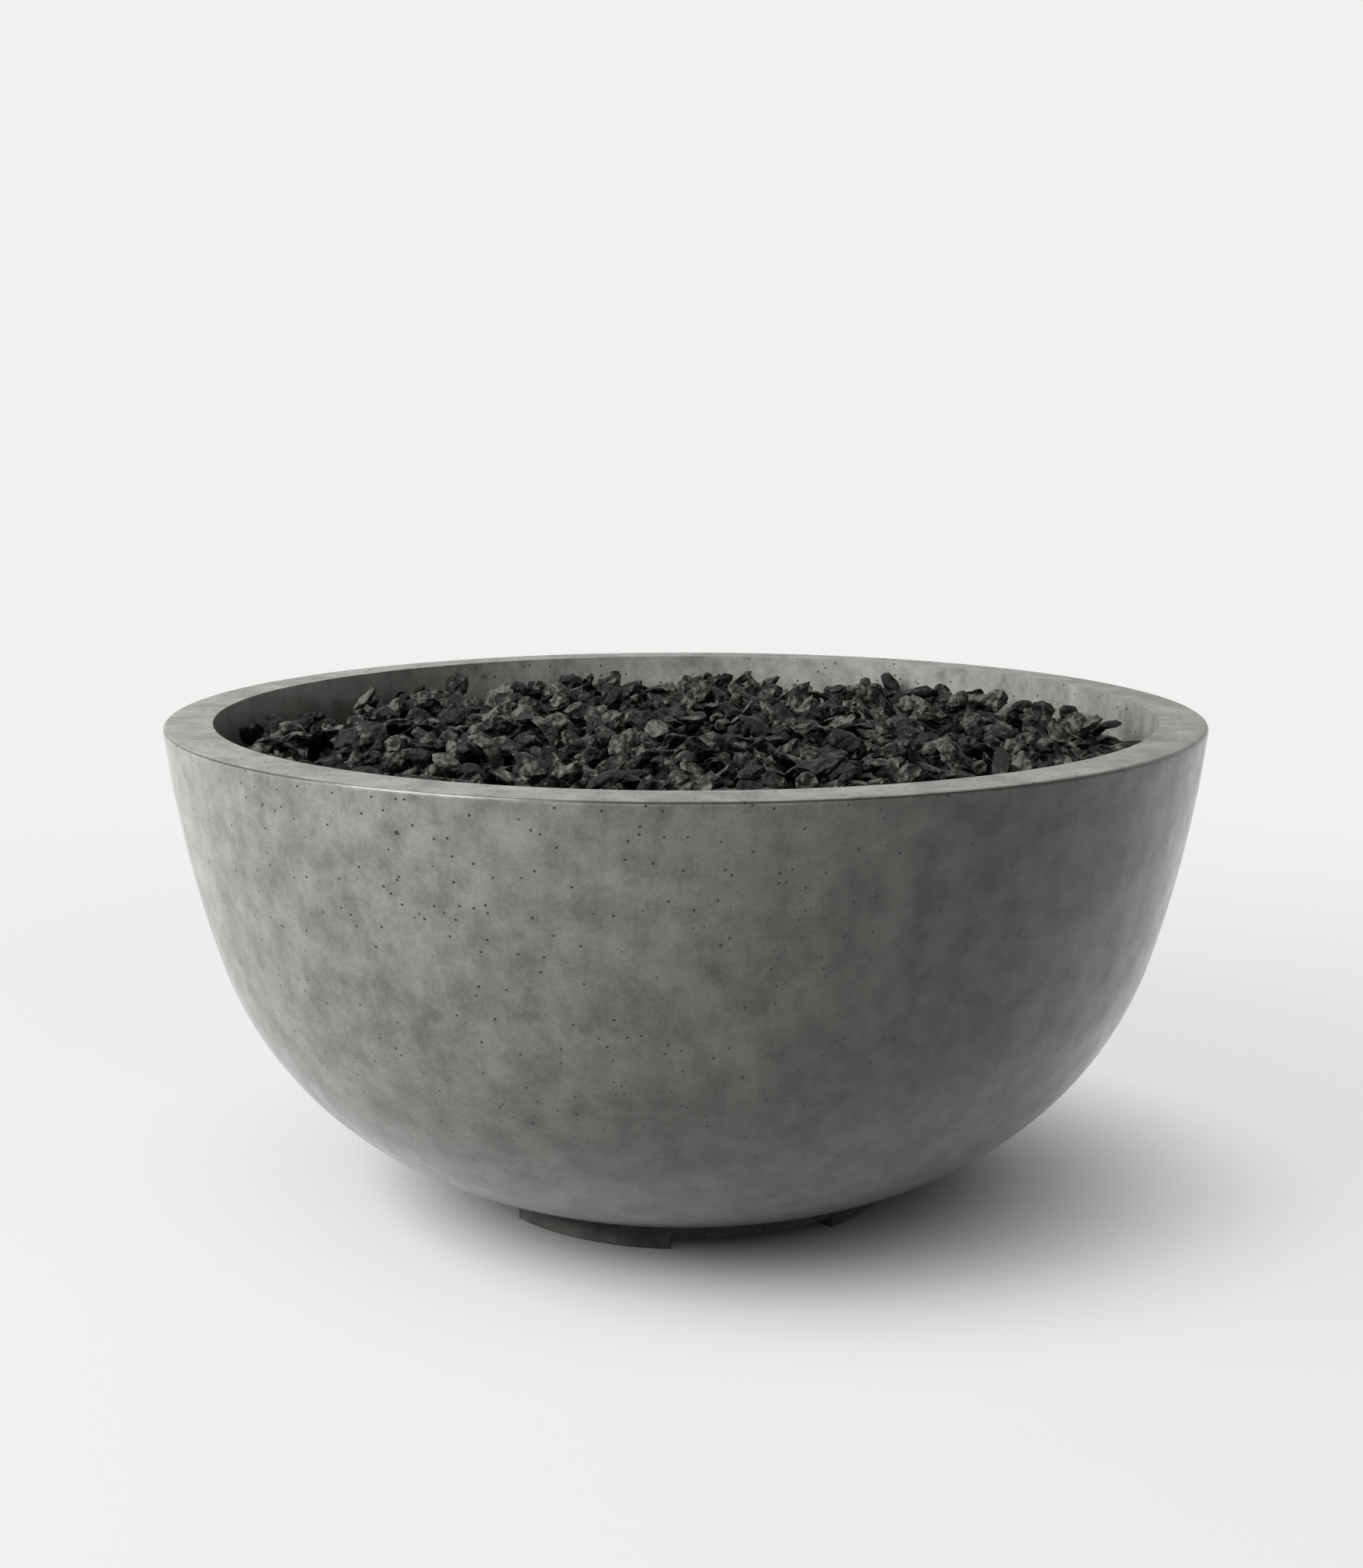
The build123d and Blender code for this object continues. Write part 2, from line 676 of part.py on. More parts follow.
# Escutcheon: the flange outside, and the sleeve through the wall that takes the key
sleeve_length = (sleeve_end_plane.origin - seat_plane.origin).length
with BuildPart() as key_escutcheon:
    with BuildSketch(seat_plane):
        Circle(escutcheon_radius)
    extrude(amount=escutcheon_thickness)
    outer_rim = key_escutcheon.edges().sort_by(Axis(valve_centre, valve_face.z_dir))[-1]
    fillet(outer_rim, escutcheon_edge_radius)
    with BuildSketch(seat_plane):
        Circle(sleeve_radius)
    extrude(amount=-sleeve_length)
    with BuildSketch(seat_plane):
        Circle(sleeve_inner_radius)
    extrude(amount=-sleeve_length, mode=Mode.SUBTRACT)
    with BuildSketch(seat_plane):
        Circle(key_hole_radius)
    extrude(amount=escutcheon_thickness, mode=Mode.SUBTRACT)
key_escutcheon.part.label = "key_escutcheon"
export_step(key_escutcheon.part, "parts/key_escutcheon.step")

sleeve_clear_radius = sleeve_radius + thread_gap
with BuildPart() as sleeve_washer:
    add(tube(sleeve_washer_radius, sleeve_clear_radius, inner_seat_plane, -washer_thickness))
sleeve_washer.part.label = "sleeve_washer"
export_step(sleeve_washer.part, "parts/sleeve_washer.step")

with BuildPart() as sleeve_locknut:
    add(hexagon(sleeve_nut_across, sleeve_nut_plane, sleeve_nut_height, sleeve_clear_radius))
sleeve_locknut.part.label = "sleeve_locknut"
export_step(sleeve_locknut.part, "parts/sleeve_locknut.step")

# Gas hose from the valve's outlet, round under the pan and up to the mixer
hose_start = across_plane.offset(outlet_reach)
hose_end_z = flare_end_z - seat_gap
hose_corner = hose_start.offset(hose_corner_share * hose_bend_radius).origin
hose_low_z = floor_z + hose_floor_gap + hose_radius
hose_rise_radius = (hose_end_z - hose_low_z) / hose_corner_share
hose_middle = (
    hose_corner.X * hose_middle_shares[0],
    hose_corner.Y * hose_middle_shares[1],
    hose_low_z + (hose_corner.Z - hose_low_z) * hose_middle_shares[2],
)
hose_route = (hose_start.origin, hose_corner, hose_middle, (0, 0, hose_low_z), (0, 0, hose_end_z))
with BuildPart() as burner_hose:
    with BuildLine() as hose_line:
        FilletPolyline(*hose_route, radius=(hose_bend_radius, hose_sweep_radius, hose_rise_radius))
    with BuildSketch(hose_start):
        Circle(hose_radius)
        Circle(hose_bore_radius, mode=Mode.SUBTRACT)
    sweep(path=hose_line.line)
burner_hose.part.label = "burner_hose"
export_step(burner_hose.part, "parts/burner_hose.step")
hose_section = pi * (hose_radius**2 - hose_bore_radius**2)
hose_length = sum(edge.length for edge in hose_line.edges())
print("hose length", round(hose_length, 1), "mm, rise bend", round(hose_rise_radius, 1), "mm")
print("hose volume over section times length", round(burner_hose.part.volume / hose_section / hose_length, 5))


def flare_nut(plane):
    """Flare nut: covers the flare for nut_cover behind the plane, and the hose beyond it."""
    with BuildPart() as nut:
        with BuildSketch(plane.offset(-nut_cover)):
            RegularPolygon(nut_across / 2, side_count=6, major_radius=False)
        extrude(amount=nut_length)
        with BuildSketch(plane.offset(-nut_cover)):
            Circle(flare_radius + nut_gap)
        extrude(amount=nut_cover + seat_gap, mode=Mode.SUBTRACT)
        with BuildSketch(plane):
            Circle(hose_radius + thread_gap)
        extrude(amount=nut_length - nut_cover, mode=Mode.SUBTRACT)
    return nut.part


with BuildPart() as hose_nut_valve_end:
    add(flare_nut(hose_start))
hose_nut_valve_end.part.label = "hose_nut_valve_end"
export_step(hose_nut_valve_end.part, "parts/hose_nut_valve_end.step")

mixer_nut_plane = Plane(origin=(0, 0, hose_end_z), x_dir=(1, 0, 0), z_dir=(0, 0, -1))
with BuildPart() as hose_nut_mixer_end:
    add(flare_nut(mixer_nut_plane))
hose_nut_mixer_end.part.label = "hose_nut_mixer_end"
export_step(hose_nut_mixer_end.part, "parts/hose_nut_mixer_end.step")

# Lava stones. A stone keeps to its own side of the line half way to each neighbour, so none overlap.
stone_reach = stone_step * stone_reach_share
golden_angle = pi * (3 - sqrt(5))


def spiral_places(bed_radius):
    """Places of a sunflower spiral whose stones stay inside bed_radius."""
    count = int(((bed_radius - stone_reach) / stone_step) ** 2)
    places = []
    for index in range(count):
        radius = stone_step * sqrt(index + 0.5)
        places.append((radius * cos(index * golden_angle), radius * sin(index * golden_angle)))
    return places


def room_towards(angle, place, places, bed_radius):
    """How far a stone may reach from its place at an angle: to the bed's edge or half way to a neighbour."""
    across = place[0] * cos(angle) + place[1] * sin(angle)
    room = sqrt(across**2 + bed_radius**2 - place[0] ** 2 - place[1] ** 2) - across
    for other in places:
        away_x = other[0] - place[0]
        away_y = other[1] - place[1]
        along = away_x * cos(angle) + away_y * sin(angle)
        if along > 0:
            room = min(room, (away_x**2 + away_y**2) / 2 / along)
    return room


def stone(draw, place, places, bed_radius, reach, low_z, height):
    """One broken stone: the hull of points scattered over a rounded block within its own room."""
    first_turn = draw.uniform(0, 2 * pi)
    points = []
    for index in range(stone_points):
        level = 1 - (2 * index + 1) / stone_points
        turn = first_turn + index * golden_angle + draw.uniform(0, 1)
        room = min(room_towards(turn, place, places, bed_radius), reach)
        size = room * stone_fill_share * (1 - level**2) ** (stone_round_power / 2)
        size = size * draw.uniform(stone_rough_share, 1)
        z = low_z + height * (level * draw.uniform(stone_thin_share, 1) + 1) / 2
        points.append((place[0] + size * cos(turn), place[1] + size * sin(turn), z))
    return ConvexPolyhedron(points, mode=Mode.PRIVATE)


def clear_of_burner(place):
    """True where a stone on the pan misses the rings, the spokes and the hub."""
    x, y = place
    radius = hypot(x, y)
    room = stone_reach + channel_width / 2 + stone_gap
    on_ring = min(abs(radius - ring_radius) for ring_radius in ring_radii) < room
    on_spoke = min(abs(x), abs(y)) < room and radius < outer_ring_radius
    return not on_ring and not on_spoke and radius > stone_reach + hub_radius + stone_gap


draw = random.Random(stone_seed)
lower_z = pan_floor_z + stone_gap
upper_z = max(lower_z + lower_layer_height, burner_top_z, pan_floor_z + hub_height) + stone_gap
lower_bed_radius = pan_well_radius - sheet - stone_gap
lower_places = spiral_places(lower_bed_radius)
lower_stones = []
for place in lower_places:
    if clear_of_burner(place):
        made = stone(draw, place, lower_places, lower_bed_radius, stone_reach, lower_z, lower_layer_height)
        lower_stones.append(made)
upper_bed_radius = wall_radius(upper_z, wall) - stone_gap
upper_places = spiral_places(upper_bed_radius)
upper_stones = []
for place in upper_places:
    crown = bed_crown * (1 - (hypot(*place) / upper_bed_radius) ** 2)
    height = upper_layer_height + crown + draw.uniform(-upper_layer_spread, upper_layer_spread)
    made = stone(draw, place, upper_places, upper_bed_radius, 2 * stone_reach, upper_z, height)
    upper_stones.append(made)

lava_rocks_lower = Compound(lower_stones)
lava_rocks_lower.label = "lava_rocks_lower"
export_step(lava_rocks_lower, "parts/lava_rocks_lower.step")
lava_rocks_top = Compound(upper_stones)
lava_rocks_top.label = "lava_rocks_top"
export_step(lava_rocks_top, "parts/lava_rocks_top.step")

print("stones", len(lower_stones), "below and", len(upper_stones), "on top")
print("height", round(rim_z, 2), "valve at", [round(v, 3) for v in tuple(valve_face.origin)])
print("valve axis", [round(v, 5) for v in tuple(valve_face.z_dir)])
print("valve centre", [round(v, 3) for v in tuple(valve_centre)])
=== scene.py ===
# %% [markdown]
# A cast concrete fire bowl, filled with crushed lava rock over a gas burner.
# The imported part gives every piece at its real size, in metres. This lesson adds
# what the eye reads: the clouds, streaks and pinholes of sealed concrete, the heap of
# broken dark stones, and the metals that show once the burner tray is lifted out.

# %% Load the part
import json
import math
from functools import partial

import bpy
import numpy as np
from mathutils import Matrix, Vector
from mathutils.bvhtree import BVHTree


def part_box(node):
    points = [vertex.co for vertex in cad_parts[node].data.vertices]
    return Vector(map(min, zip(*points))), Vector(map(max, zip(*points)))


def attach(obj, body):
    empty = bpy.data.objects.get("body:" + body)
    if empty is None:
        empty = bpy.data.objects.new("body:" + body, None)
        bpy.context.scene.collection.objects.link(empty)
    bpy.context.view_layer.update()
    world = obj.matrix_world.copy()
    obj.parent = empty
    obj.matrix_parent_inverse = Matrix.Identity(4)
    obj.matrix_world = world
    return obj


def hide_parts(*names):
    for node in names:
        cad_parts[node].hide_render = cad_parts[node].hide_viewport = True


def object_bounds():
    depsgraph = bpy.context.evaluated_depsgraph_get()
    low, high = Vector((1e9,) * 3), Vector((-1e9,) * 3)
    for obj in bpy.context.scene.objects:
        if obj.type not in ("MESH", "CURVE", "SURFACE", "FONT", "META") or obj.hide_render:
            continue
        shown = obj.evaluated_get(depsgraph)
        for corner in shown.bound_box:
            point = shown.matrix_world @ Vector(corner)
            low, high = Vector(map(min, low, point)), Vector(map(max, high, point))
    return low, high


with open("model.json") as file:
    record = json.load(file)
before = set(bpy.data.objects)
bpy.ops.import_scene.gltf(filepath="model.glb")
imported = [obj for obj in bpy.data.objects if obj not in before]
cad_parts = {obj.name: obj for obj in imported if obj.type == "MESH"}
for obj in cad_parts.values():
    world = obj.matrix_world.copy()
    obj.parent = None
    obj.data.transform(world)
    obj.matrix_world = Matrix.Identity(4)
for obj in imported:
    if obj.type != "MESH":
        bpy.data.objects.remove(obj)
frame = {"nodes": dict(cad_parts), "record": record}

cad_low, cad_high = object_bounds()
bowl_height = cad_high.z
bowl_radius = (cad_high.x - cad_low.x) / 2
print("nodes", len(frame["nodes"]), "height", round(bowl_height, 4), "radius", round(bowl_radius, 4))

# %% [markdown]
# A few small helpers serve every material. Colours are written as sRGB hex, as a paint
# chart gives them, and turned to linear light once. A pattern is written by the real
# size of its features in millimetres, because a texture counts features to the metre.
# One function adds a node of any kind, so a chain of nodes reads from its first line to
# its last.

# %% Helpers for materials
MM = 0.001
COLOUR_A, COLOUR_B, COLOUR_MIXED = 6, 7, 2  # the sockets of a Mix node that mixes colours


def linear(hex_colour):
    """An sRGB hex colour as linear red, green, blue and alpha."""
    channels = [int(hex_colour[start:start + 2], 16) / 255 for start in (1, 3, 5)]
    return [c / 12.92 if c <= 0.04045 else ((c + 0.055) / 1.055) ** 2.4 for c in channels] + [1.0]


def per_metre(feature_mm):
    """The texture scale whose features are that many millimetres across."""
    return 1 / (feature_mm * MM)


def feed(tree, node, inputs):
    """Gives a node its inputs, in order or by name. Each is a value, or an output to link to."""
    for name, value in inputs.items() if isinstance(inputs, dict) else enumerate(inputs):
        if isinstance(value, bpy.types.NodeSocket):
            tree.links.new(value, node.inputs[name])
        else:
            node.inputs[name].default_value = value


def add_node(tree, kind, inputs=(), **settings):
    """Adds a node of that kind with its settings and inputs, and returns its outputs."""
    node = tree.nodes.new(kind)
    for name, value in settings.items():
        setattr(node, name, value)
    feed(tree, node, inputs)
    return node.outputs


def new_finish(name):
    """A material: itself, what adds nodes to it, and the object coordinates that its patterns read."""
    material = bpy.data.materials.new(name)
    material.use_nodes = True
    add = partial(add_node, material.node_tree)
    return material, add, add("ShaderNodeTexCoord")["Object"]


def finish_with(material, inputs):
    """Gives the material's shader its inputs."""
    feed(material.node_tree, material.node_tree.nodes["Principled BSDF"], inputs)
    return material


print("mid grey in linear light", [round(c, 3) for c in linear("#808080")])

# %% [markdown]
# The bowl is concrete cast in a smooth mould. Its grey isn't even: a haze as wide as a
# spread hand, clouds three fingers wide, blotches one finger wide, streaks where water ran
# down the mould, and the fine grain of sand. Each is Noise at its own size, and gives its
# share to one tone between a dark and a light grey. A streak is noise drawn out upright,
# by squeezing its coordinates.

# %% Concrete: the uneven grey
MOTTLING = {
    # pattern: size of its features in mm, detail, roughness, share of the tone
    "haze": (210, 2.0, 0.58, 0.05),
    "clouds": (62, 5.0, 0.63, 0.18),
    "blotches": (21, 4.0, 0.63, 0.36),
    "streaks": (24, 4.0, 0.63, 0.24),
    "sand": (2.6, 2.0, 0.58, 0.17),
}
STREAK_SQUEEZE = 0.25
NOISE_LOW, NOISE_HIGH = 0.25, 0.75


def mottled_grey(add, place, dark, light):
    """The noise patterns by name, and the grey that they make together."""
    upright = add("ShaderNodeMapping", {"Vector": place, "Scale": (1.0, 1.0, STREAK_SQUEEZE)})[0]
    patterns = {}
    tone = 0.0
    for name, (feature_mm, detail, roughness, share) in MOTTLING.items():
        spot = upright if name == "streaks" else place
        look = {"Vector": spot, "Scale": per_metre(feature_mm), "Detail": detail, "Roughness": roughness}
        patterns[name] = add("ShaderNodeTexNoise", look)[0]
        part = add(
            "ShaderNodeMapRange", (patterns[name], NOISE_LOW, NOISE_HIGH, 0.0, share),
            interpolation_type="SMOOTHSTEP",
        )[0]
        tone = add("ShaderNodeMath", (tone, part), operation="ADD")[0]
    mix = {0: tone, COLOUR_A: linear(dark), COLOUR_B: linear(light)}
    return patterns, add("ShaderNodeMix", mix, data_type="RGBA")[COLOUR_MIXED]


print("greys in the concrete, in mm:", {name: facts[0] for name, facts in MOTTLING.items()})

# %% [markdown]
# Air trapped against the mould leaves pinholes: fine ones, thick in some places and thin
# in others, and now and then a large one with a dark damp halo. Smudges lie between them.
# Painting dots would need a list of places, so Voronoi does it: each cell holds a bubble,
# the distance to its middle makes the hole, and the cell's random colour says whether
# the bubble broke open. An open hole is sunk by a bump, and its floor is painted near
# black, which is painted shade. The finest real holes are too small to show, so the fine
# ones are drawn about two millimetres wide.

# %% Concrete: pinholes, halos and smudges
FINE_CELL_MM, FINE_RADIUS_MM = 7.6, 1.02
LARGE_CELL_MM, LARGE_RADIUS_MM, HALO_RADIUS_MM = 25, 1.7, 8
HOLE_FLOOR_SHARE = 0.7
FEWEST_OPEN, MOST_OPEN, LARGE_OPEN = 0.5, 1.0, 0.9
CLUSTER_MM, CLUSTER_DETAIL, CLUSTER_LOW, CLUSTER_HIGH = 95, 2.0, 0.36, 0.64
SMUDGE_MM, SMUDGE_DETAIL, SMUDGE_LOW, SMUDGE_HIGH = 27, 3.0, 0.6, 0.78
PATCH_ROUGHNESS = 0.58
HALO_DARK, SMUDGE_DARK = 0.34, 0.3


def air_holes(add, place, cell_mm, radius_mm, open_share):
    """Bubbles: millimetres to the nearest, 1 where that one broke open, and 1 inside an open one."""
    cells = add("ShaderNodeTexVoronoi", {"Vector": place, "Scale": per_metre(cell_mm)})
    away = add("ShaderNodeMath", (cells["Distance"], cell_mm), operation="MULTIPLY")[0]
    lot = add("ShaderNodeSeparateXYZ", (cells["Color"],))[0]
    broken = add("ShaderNodeMath", (lot, open_share), operation="LESS_THAN")[0]
    hole = add(
        "ShaderNodeMapRange", (away, radius_mm, HOLE_FLOOR_SHARE * radius_mm),
        interpolation_type="SMOOTHSTEP",
    )[0]
    return away, broken, add("ShaderNodeMath", (hole, broken), operation="MULTIPLY")[0]


def patches(add, place, feature_mm, detail, low, high, start, end):
    """A number that goes from start to end where soft noise rises from low to high."""
    look = {"Vector": place, "Scale": per_metre(feature_mm), "Detail": detail, "Roughness": PATCH_ROUGHNESS}
    soft = add("ShaderNodeTexNoise", look)[0]
    return add("ShaderNodeMapRange", (soft, low, high, start, end), interpolation_type="SMOOTHSTEP")[0]


def pits_and_stains(add, place):
    """How far each point is inside a hole, and how far a halo or a smudge darkens it."""
    open_share = patches(
        add, place, CLUSTER_MM, CLUSTER_DETAIL, CLUSTER_LOW, CLUSTER_HIGH, FEWEST_OPEN, MOST_OPEN
    )
    smudge = patches(add, place, SMUDGE_MM, SMUDGE_DETAIL, SMUDGE_LOW, SMUDGE_HIGH, 0.0, SMUDGE_DARK)
    fine_pits = air_holes(add, place, FINE_CELL_MM, FINE_RADIUS_MM, open_share)[2]
    away, broken, large_pits = air_holes(add, place, LARGE_CELL_MM, LARGE_RADIUS_MM, LARGE_OPEN)
    damp = add(
        "ShaderNodeMapRange", (away, HALO_RADIUS_MM, 0.0, 0.0, HALO_DARK), interpolation_type="SMOOTHSTEP"
    )[0]
    halo = add("ShaderNodeMath", (damp, broken), operation="MULTIPLY")[0]
    pits = add("ShaderNodeMath", (fine_pits, large_pits), operation="MAXIMUM")[0]
    return pits, add("ShaderNodeMath", (smudge, halo), operation="ADD")[0]


print("holes in the concrete, in mm:", 2 * FINE_RADIUS_MM, "and", 2 * LARGE_RADIUS_MM)

# %% [markdown]
# The bowl was sealed, which gives a satin gloss that brightens the sides, where the eye
# meets them at a low angle. A clear sealer is a coat on the shader, thinner on some
# blotches than on others. The level rim was honed after casting, so it is rougher and
# takes less sealer. Its rounded outer edge is darkened with painted shade. The way a face
# points tells these apart. The foot ring is the same concrete, left raw, so it is duller,
# and its grey is set darker.

# %% Concrete: sealed and raw
LEVEL_FROM, LEVEL_FULL = 0.6, 0.95
EDGE_RISE, EDGE_FALL = (0.2, 0.45), (0.9, 0.7)
# The last number on the next line is how deep the painted shade on the rim's outer edge goes.
EDGE_OUT_FROM, EDGE_OUT_FULL, EDGE_SHADE = 0.1, 0.3, 0.85
HONED_ROUGHER, HONED_SEALER, WORN_SEALER = 0.2, 0.25, 0.65
DRIFT_LOW, DRIFT_HIGH = 0.3, 0.7
SAND_DEPTH_MM, SAND_STRENGTH, HOLE_DEPTH_MM = 0.1, 0.5, 0.4
# The first grey darkens the real smudges and halos, and is also painted shade on the rim's rounded outer
# edge.
STAIN_AND_SHADE, HOLE_FLOOR_SHADE = linear("#1E1E1C"), linear("#0B0B0A")


def painted_edge_shade(add, place, facing, upwards):
    """How far each point is on the rounded outer edge of the rim, where painted shade darkens it."""
    outwards = add("ShaderNodeVectorMath", (facing, place), operation="DOT_PRODUCT")["Value"]
    risen = add("ShaderNodeMapRange", (upwards, *EDGE_RISE), interpolation_type="SMOOTHSTEP")[0]
    fallen = add("ShaderNodeMapRange", (upwards, *EDGE_FALL), interpolation_type="SMOOTHSTEP")[0]
    outer = add(
        "ShaderNodeMapRange", (outwards, EDGE_OUT_FROM, EDGE_OUT_FULL, 0.0, EDGE_SHADE),
        interpolation_type="SMOOTHSTEP",
    )[0]
    bend = add("ShaderNodeMath", (risen, fallen), operation="MULTIPLY")[0]
    return add("ShaderNodeMath", (bend, outer), operation="MULTIPLY")[0]


def moulded_gloss(add, clouds, upwards, smoothest, roughest):
    """The roughness: smoother in the light clouds, and rougher where the level rim was honed."""
    gloss = add(
        "ShaderNodeMapRange", (clouds, DRIFT_LOW, DRIFT_HIGH, roughest, smoothest),
        interpolation_type="SMOOTHSTEP",
    )[0]
    honed = add(
        "ShaderNodeMapRange", (upwards, LEVEL_FROM, LEVEL_FULL, 0.0, HONED_ROUGHER),
        interpolation_type="SMOOTHSTEP",
    )[0]
    return add("ShaderNodeMath", (gloss, honed), operation="ADD")[0]


def clear_sealer(add, blotches, upwards, coat):
    """How much sealer lies on the concrete: less on the dark blotches, and little on the honed rim."""
    kept = add(
        "ShaderNodeMapRange", (blotches, DRIFT_LOW, DRIFT_HIGH, WORN_SEALER, 1.0),
        interpolation_type="SMOOTHSTEP",
    )[0]
    taken = add(
        "ShaderNodeMapRange", (upwards, LEVEL_FROM, LEVEL_FULL, coat, HONED_SEALER * coat),
        interpolation_type="SMOOTHSTEP",
    )[0]
    return add("ShaderNodeMath", (kept, taken), operation="MULTIPLY")[0]


def cast_concrete(name, dark, light, smoothest, roughest, coat):
    """Concrete whose sides met a smooth mould, and whose level top was honed and takes less sealer."""
    material, add, place = new_finish(name)
    facing = add("ShaderNodeNewGeometry")["Normal"]
    upwards = add("ShaderNodeSeparateXYZ", (facing,))[2]
    patterns, plain = mottled_grey(add, place, dark, light)
    pits, stains = pits_and_stains(add, place)
    # Painted shade on the rim's outer edge, taken together with the real smudges and halos.
    stains_and_edge_shade = add("ShaderNodeMath", (stains, painted_edge_shade(add, place, facing, upwards)), operation="MAXIMUM")[0]
    stain_and_shade_mix = {0: stains_and_edge_shade, COLOUR_A: plain, COLOUR_B: STAIN_AND_SHADE}
    stained_and_shaded = add("ShaderNodeMix", stain_and_shade_mix, data_type="RGBA")[COLOUR_MIXED]
    # Painted shade: the floor of each open pinhole is near black.
    hole_shade_mix = {0: pits, COLOUR_A: stained_and_shaded, COLOUR_B: HOLE_FLOOR_SHADE}
    grain = {"Height": patterns["sand"], "Distance": SAND_DEPTH_MM * MM, "Strength": SAND_STRENGTH}
    sandy = add("ShaderNodeBump", grain)[0]
    pitted = {"Height": pits, "Distance": HOLE_DEPTH_MM * MM, "Normal": sandy}
    return finish_with(material, {
        "Base Color": add("ShaderNodeMix", hole_shade_mix, data_type="RGBA")[COLOUR_MIXED],
        "Roughness": moulded_gloss(add, patterns["clouds"], upwards, smoothest, roughest),
        "Specular IOR Level": 0.35,
        "Coat Weight": clear_sealer(add, patterns["blotches"], upwards, coat) if coat else 0.0,
        "Coat Roughness": 0.2,
        "Normal": add("ShaderNodeBump", pitted, invert=True)[0],
    })


concrete = cast_concrete("sealed cast concrete", "#4E4F4B", "#AFB0A8", 0.34, 0.46, 1.0)
# The foot ring's concrete has no sealer, and its greys are set darker than the bowl's.
raw_concrete = cast_concrete("raw cast concrete", "#3C3C39", "#9A9B95", 0.6, 0.75, 0.0)
print("concrete nodes", len(concrete.node_tree.nodes), "sealed,", len(raw_concrete.node_tree.nodes), "raw")

# %% [markdown]
# Lava rock is frozen froth, crushed: charcoal grey, matt and knobbly, with a rough crust.
# Voronoi makes the knobs, and Noise the crust. Painted shade darkens the creases between
# the knobs and the hollows of the crust, and painted light brightens the knobs and the
# raised crust. Each stone has a tone of its own, so the heap stores a tone on every
# stone, and the material reads it. The real bubbles are finer than the render can show,
# so the crust is drawn at the size of the largest ones.

# %% Crushed lava rock
KNOB_MM, KNOB_DETAIL, KNOB_ROUGHNESS, KNOB_DEPTH_MM = 10, 1.0, 0.6, 3.6
CRUST_MM, CRUST_DETAIL, CRUST_ROUGHNESS, CRUST_DEPTH_MM = 3.2, 4.0, 0.65, 1.4
# The last number is painted light on the raised crust and painted shade in its hollows.
CRUST_LOW, CRUST_HIGH, CRUST_PAINTED_RELIEF = 0.35, 0.65, 0.25
# Painted light on the knobs and painted shade in the creases between them, from the distance to each knob's
# middle.
CREASE_FROM, CREASE_FULL, KNOB_PAINTED_LIGHT, CREASE_PAINTED_SHADE = 0.5, 1.1, 0.15, 0.55
TONE = "stone_tone"


def crushed_lava():
    """Knobs and crust in relief with painted light and shade, in a grey that changes from stone to stone."""
    material, add, place = new_finish("crushed lava rock")
    crust = add("ShaderNodeTexNoise", {
        "Vector": place, "Scale": per_metre(CRUST_MM),
        "Detail": CRUST_DETAIL, "Roughness": CRUST_ROUGHNESS,
    })[0]
    from_knob = add("ShaderNodeTexVoronoi", {
        "Vector": place, "Scale": per_metre(KNOB_MM),
        "Detail": KNOB_DETAIL, "Roughness": KNOB_ROUGHNESS,
    })["Distance"]
    # Painted light and shade: the crust that the bump raises is lighter, and its hollows darker.
    painted_crust_relief = add(
        "ShaderNodeMapRange", (crust, CRUST_LOW, CRUST_HIGH, -CRUST_PAINTED_RELIEF, CRUST_PAINTED_RELIEF),
        interpolation_type="SMOOTHSTEP",
    )[0]
    # Painted light and shade: lighter on the knobs, near black in the creases between them.
    painted_crease_shade = add(
        "ShaderNodeMapRange", (from_knob, CREASE_FROM, CREASE_FULL, KNOB_PAINTED_LIGHT, -CREASE_PAINTED_SHADE),
        interpolation_type="SMOOTHSTEP",
    )[0]
    tone = add("ShaderNodeAttribute", attribute_name=TONE)["Fac"]
    # The painted light and shade of the relief, added to each stone's own tone.
    painted_relief = add("ShaderNodeMath", (painted_crust_relief, painted_crease_shade), operation="ADD")[0]
    shade = add("ShaderNodeMath", (tone, painted_relief), operation="ADD")[0]
    light = add("ShaderNodeMapRange", (shade, 0.0, 1.0), interpolation_type="SMOOTHSTEP")[0]
    mix = {0: light, COLOUR_A: linear("#060605"), COLOUR_B: linear("#62635B")}
    knobbly = add("ShaderNodeBump", {"Height": from_knob, "Distance": KNOB_DEPTH_MM * MM}, invert=True)[0]
    crusted = {"Height": crust, "Distance": CRUST_DEPTH_MM * MM, "Normal": knobbly}
    return finish_with(material, {
        "Base Color": add("ShaderNodeMix", mix, data_type="RGBA")[COLOUR_MIXED],
        "Roughness": 0.66,
        "Specular IOR Level": 0.32,
        "Normal": add("ShaderNodeBump", crusted)[0],
    })


lava = crushed_lava()
print("lava rock: knobs", KNOB_MM, "mm, crust", CRUST_MM, "mm")

# %% [markdown]
# The metals, rubber and plastics inside the bowl show when the tray is lifted out. Each
# is one colour that drifts a little, a roughness that drifts with it, and a grain: long
# scratches on brushed sheet, a sandy skin on cast iron, faint spangles on zinc. So one
# function makes them all, and a table says what each one is. Real brushing and turning
# marks are a tenth of a millimetre wide, so they are drawn coarser here, to show.

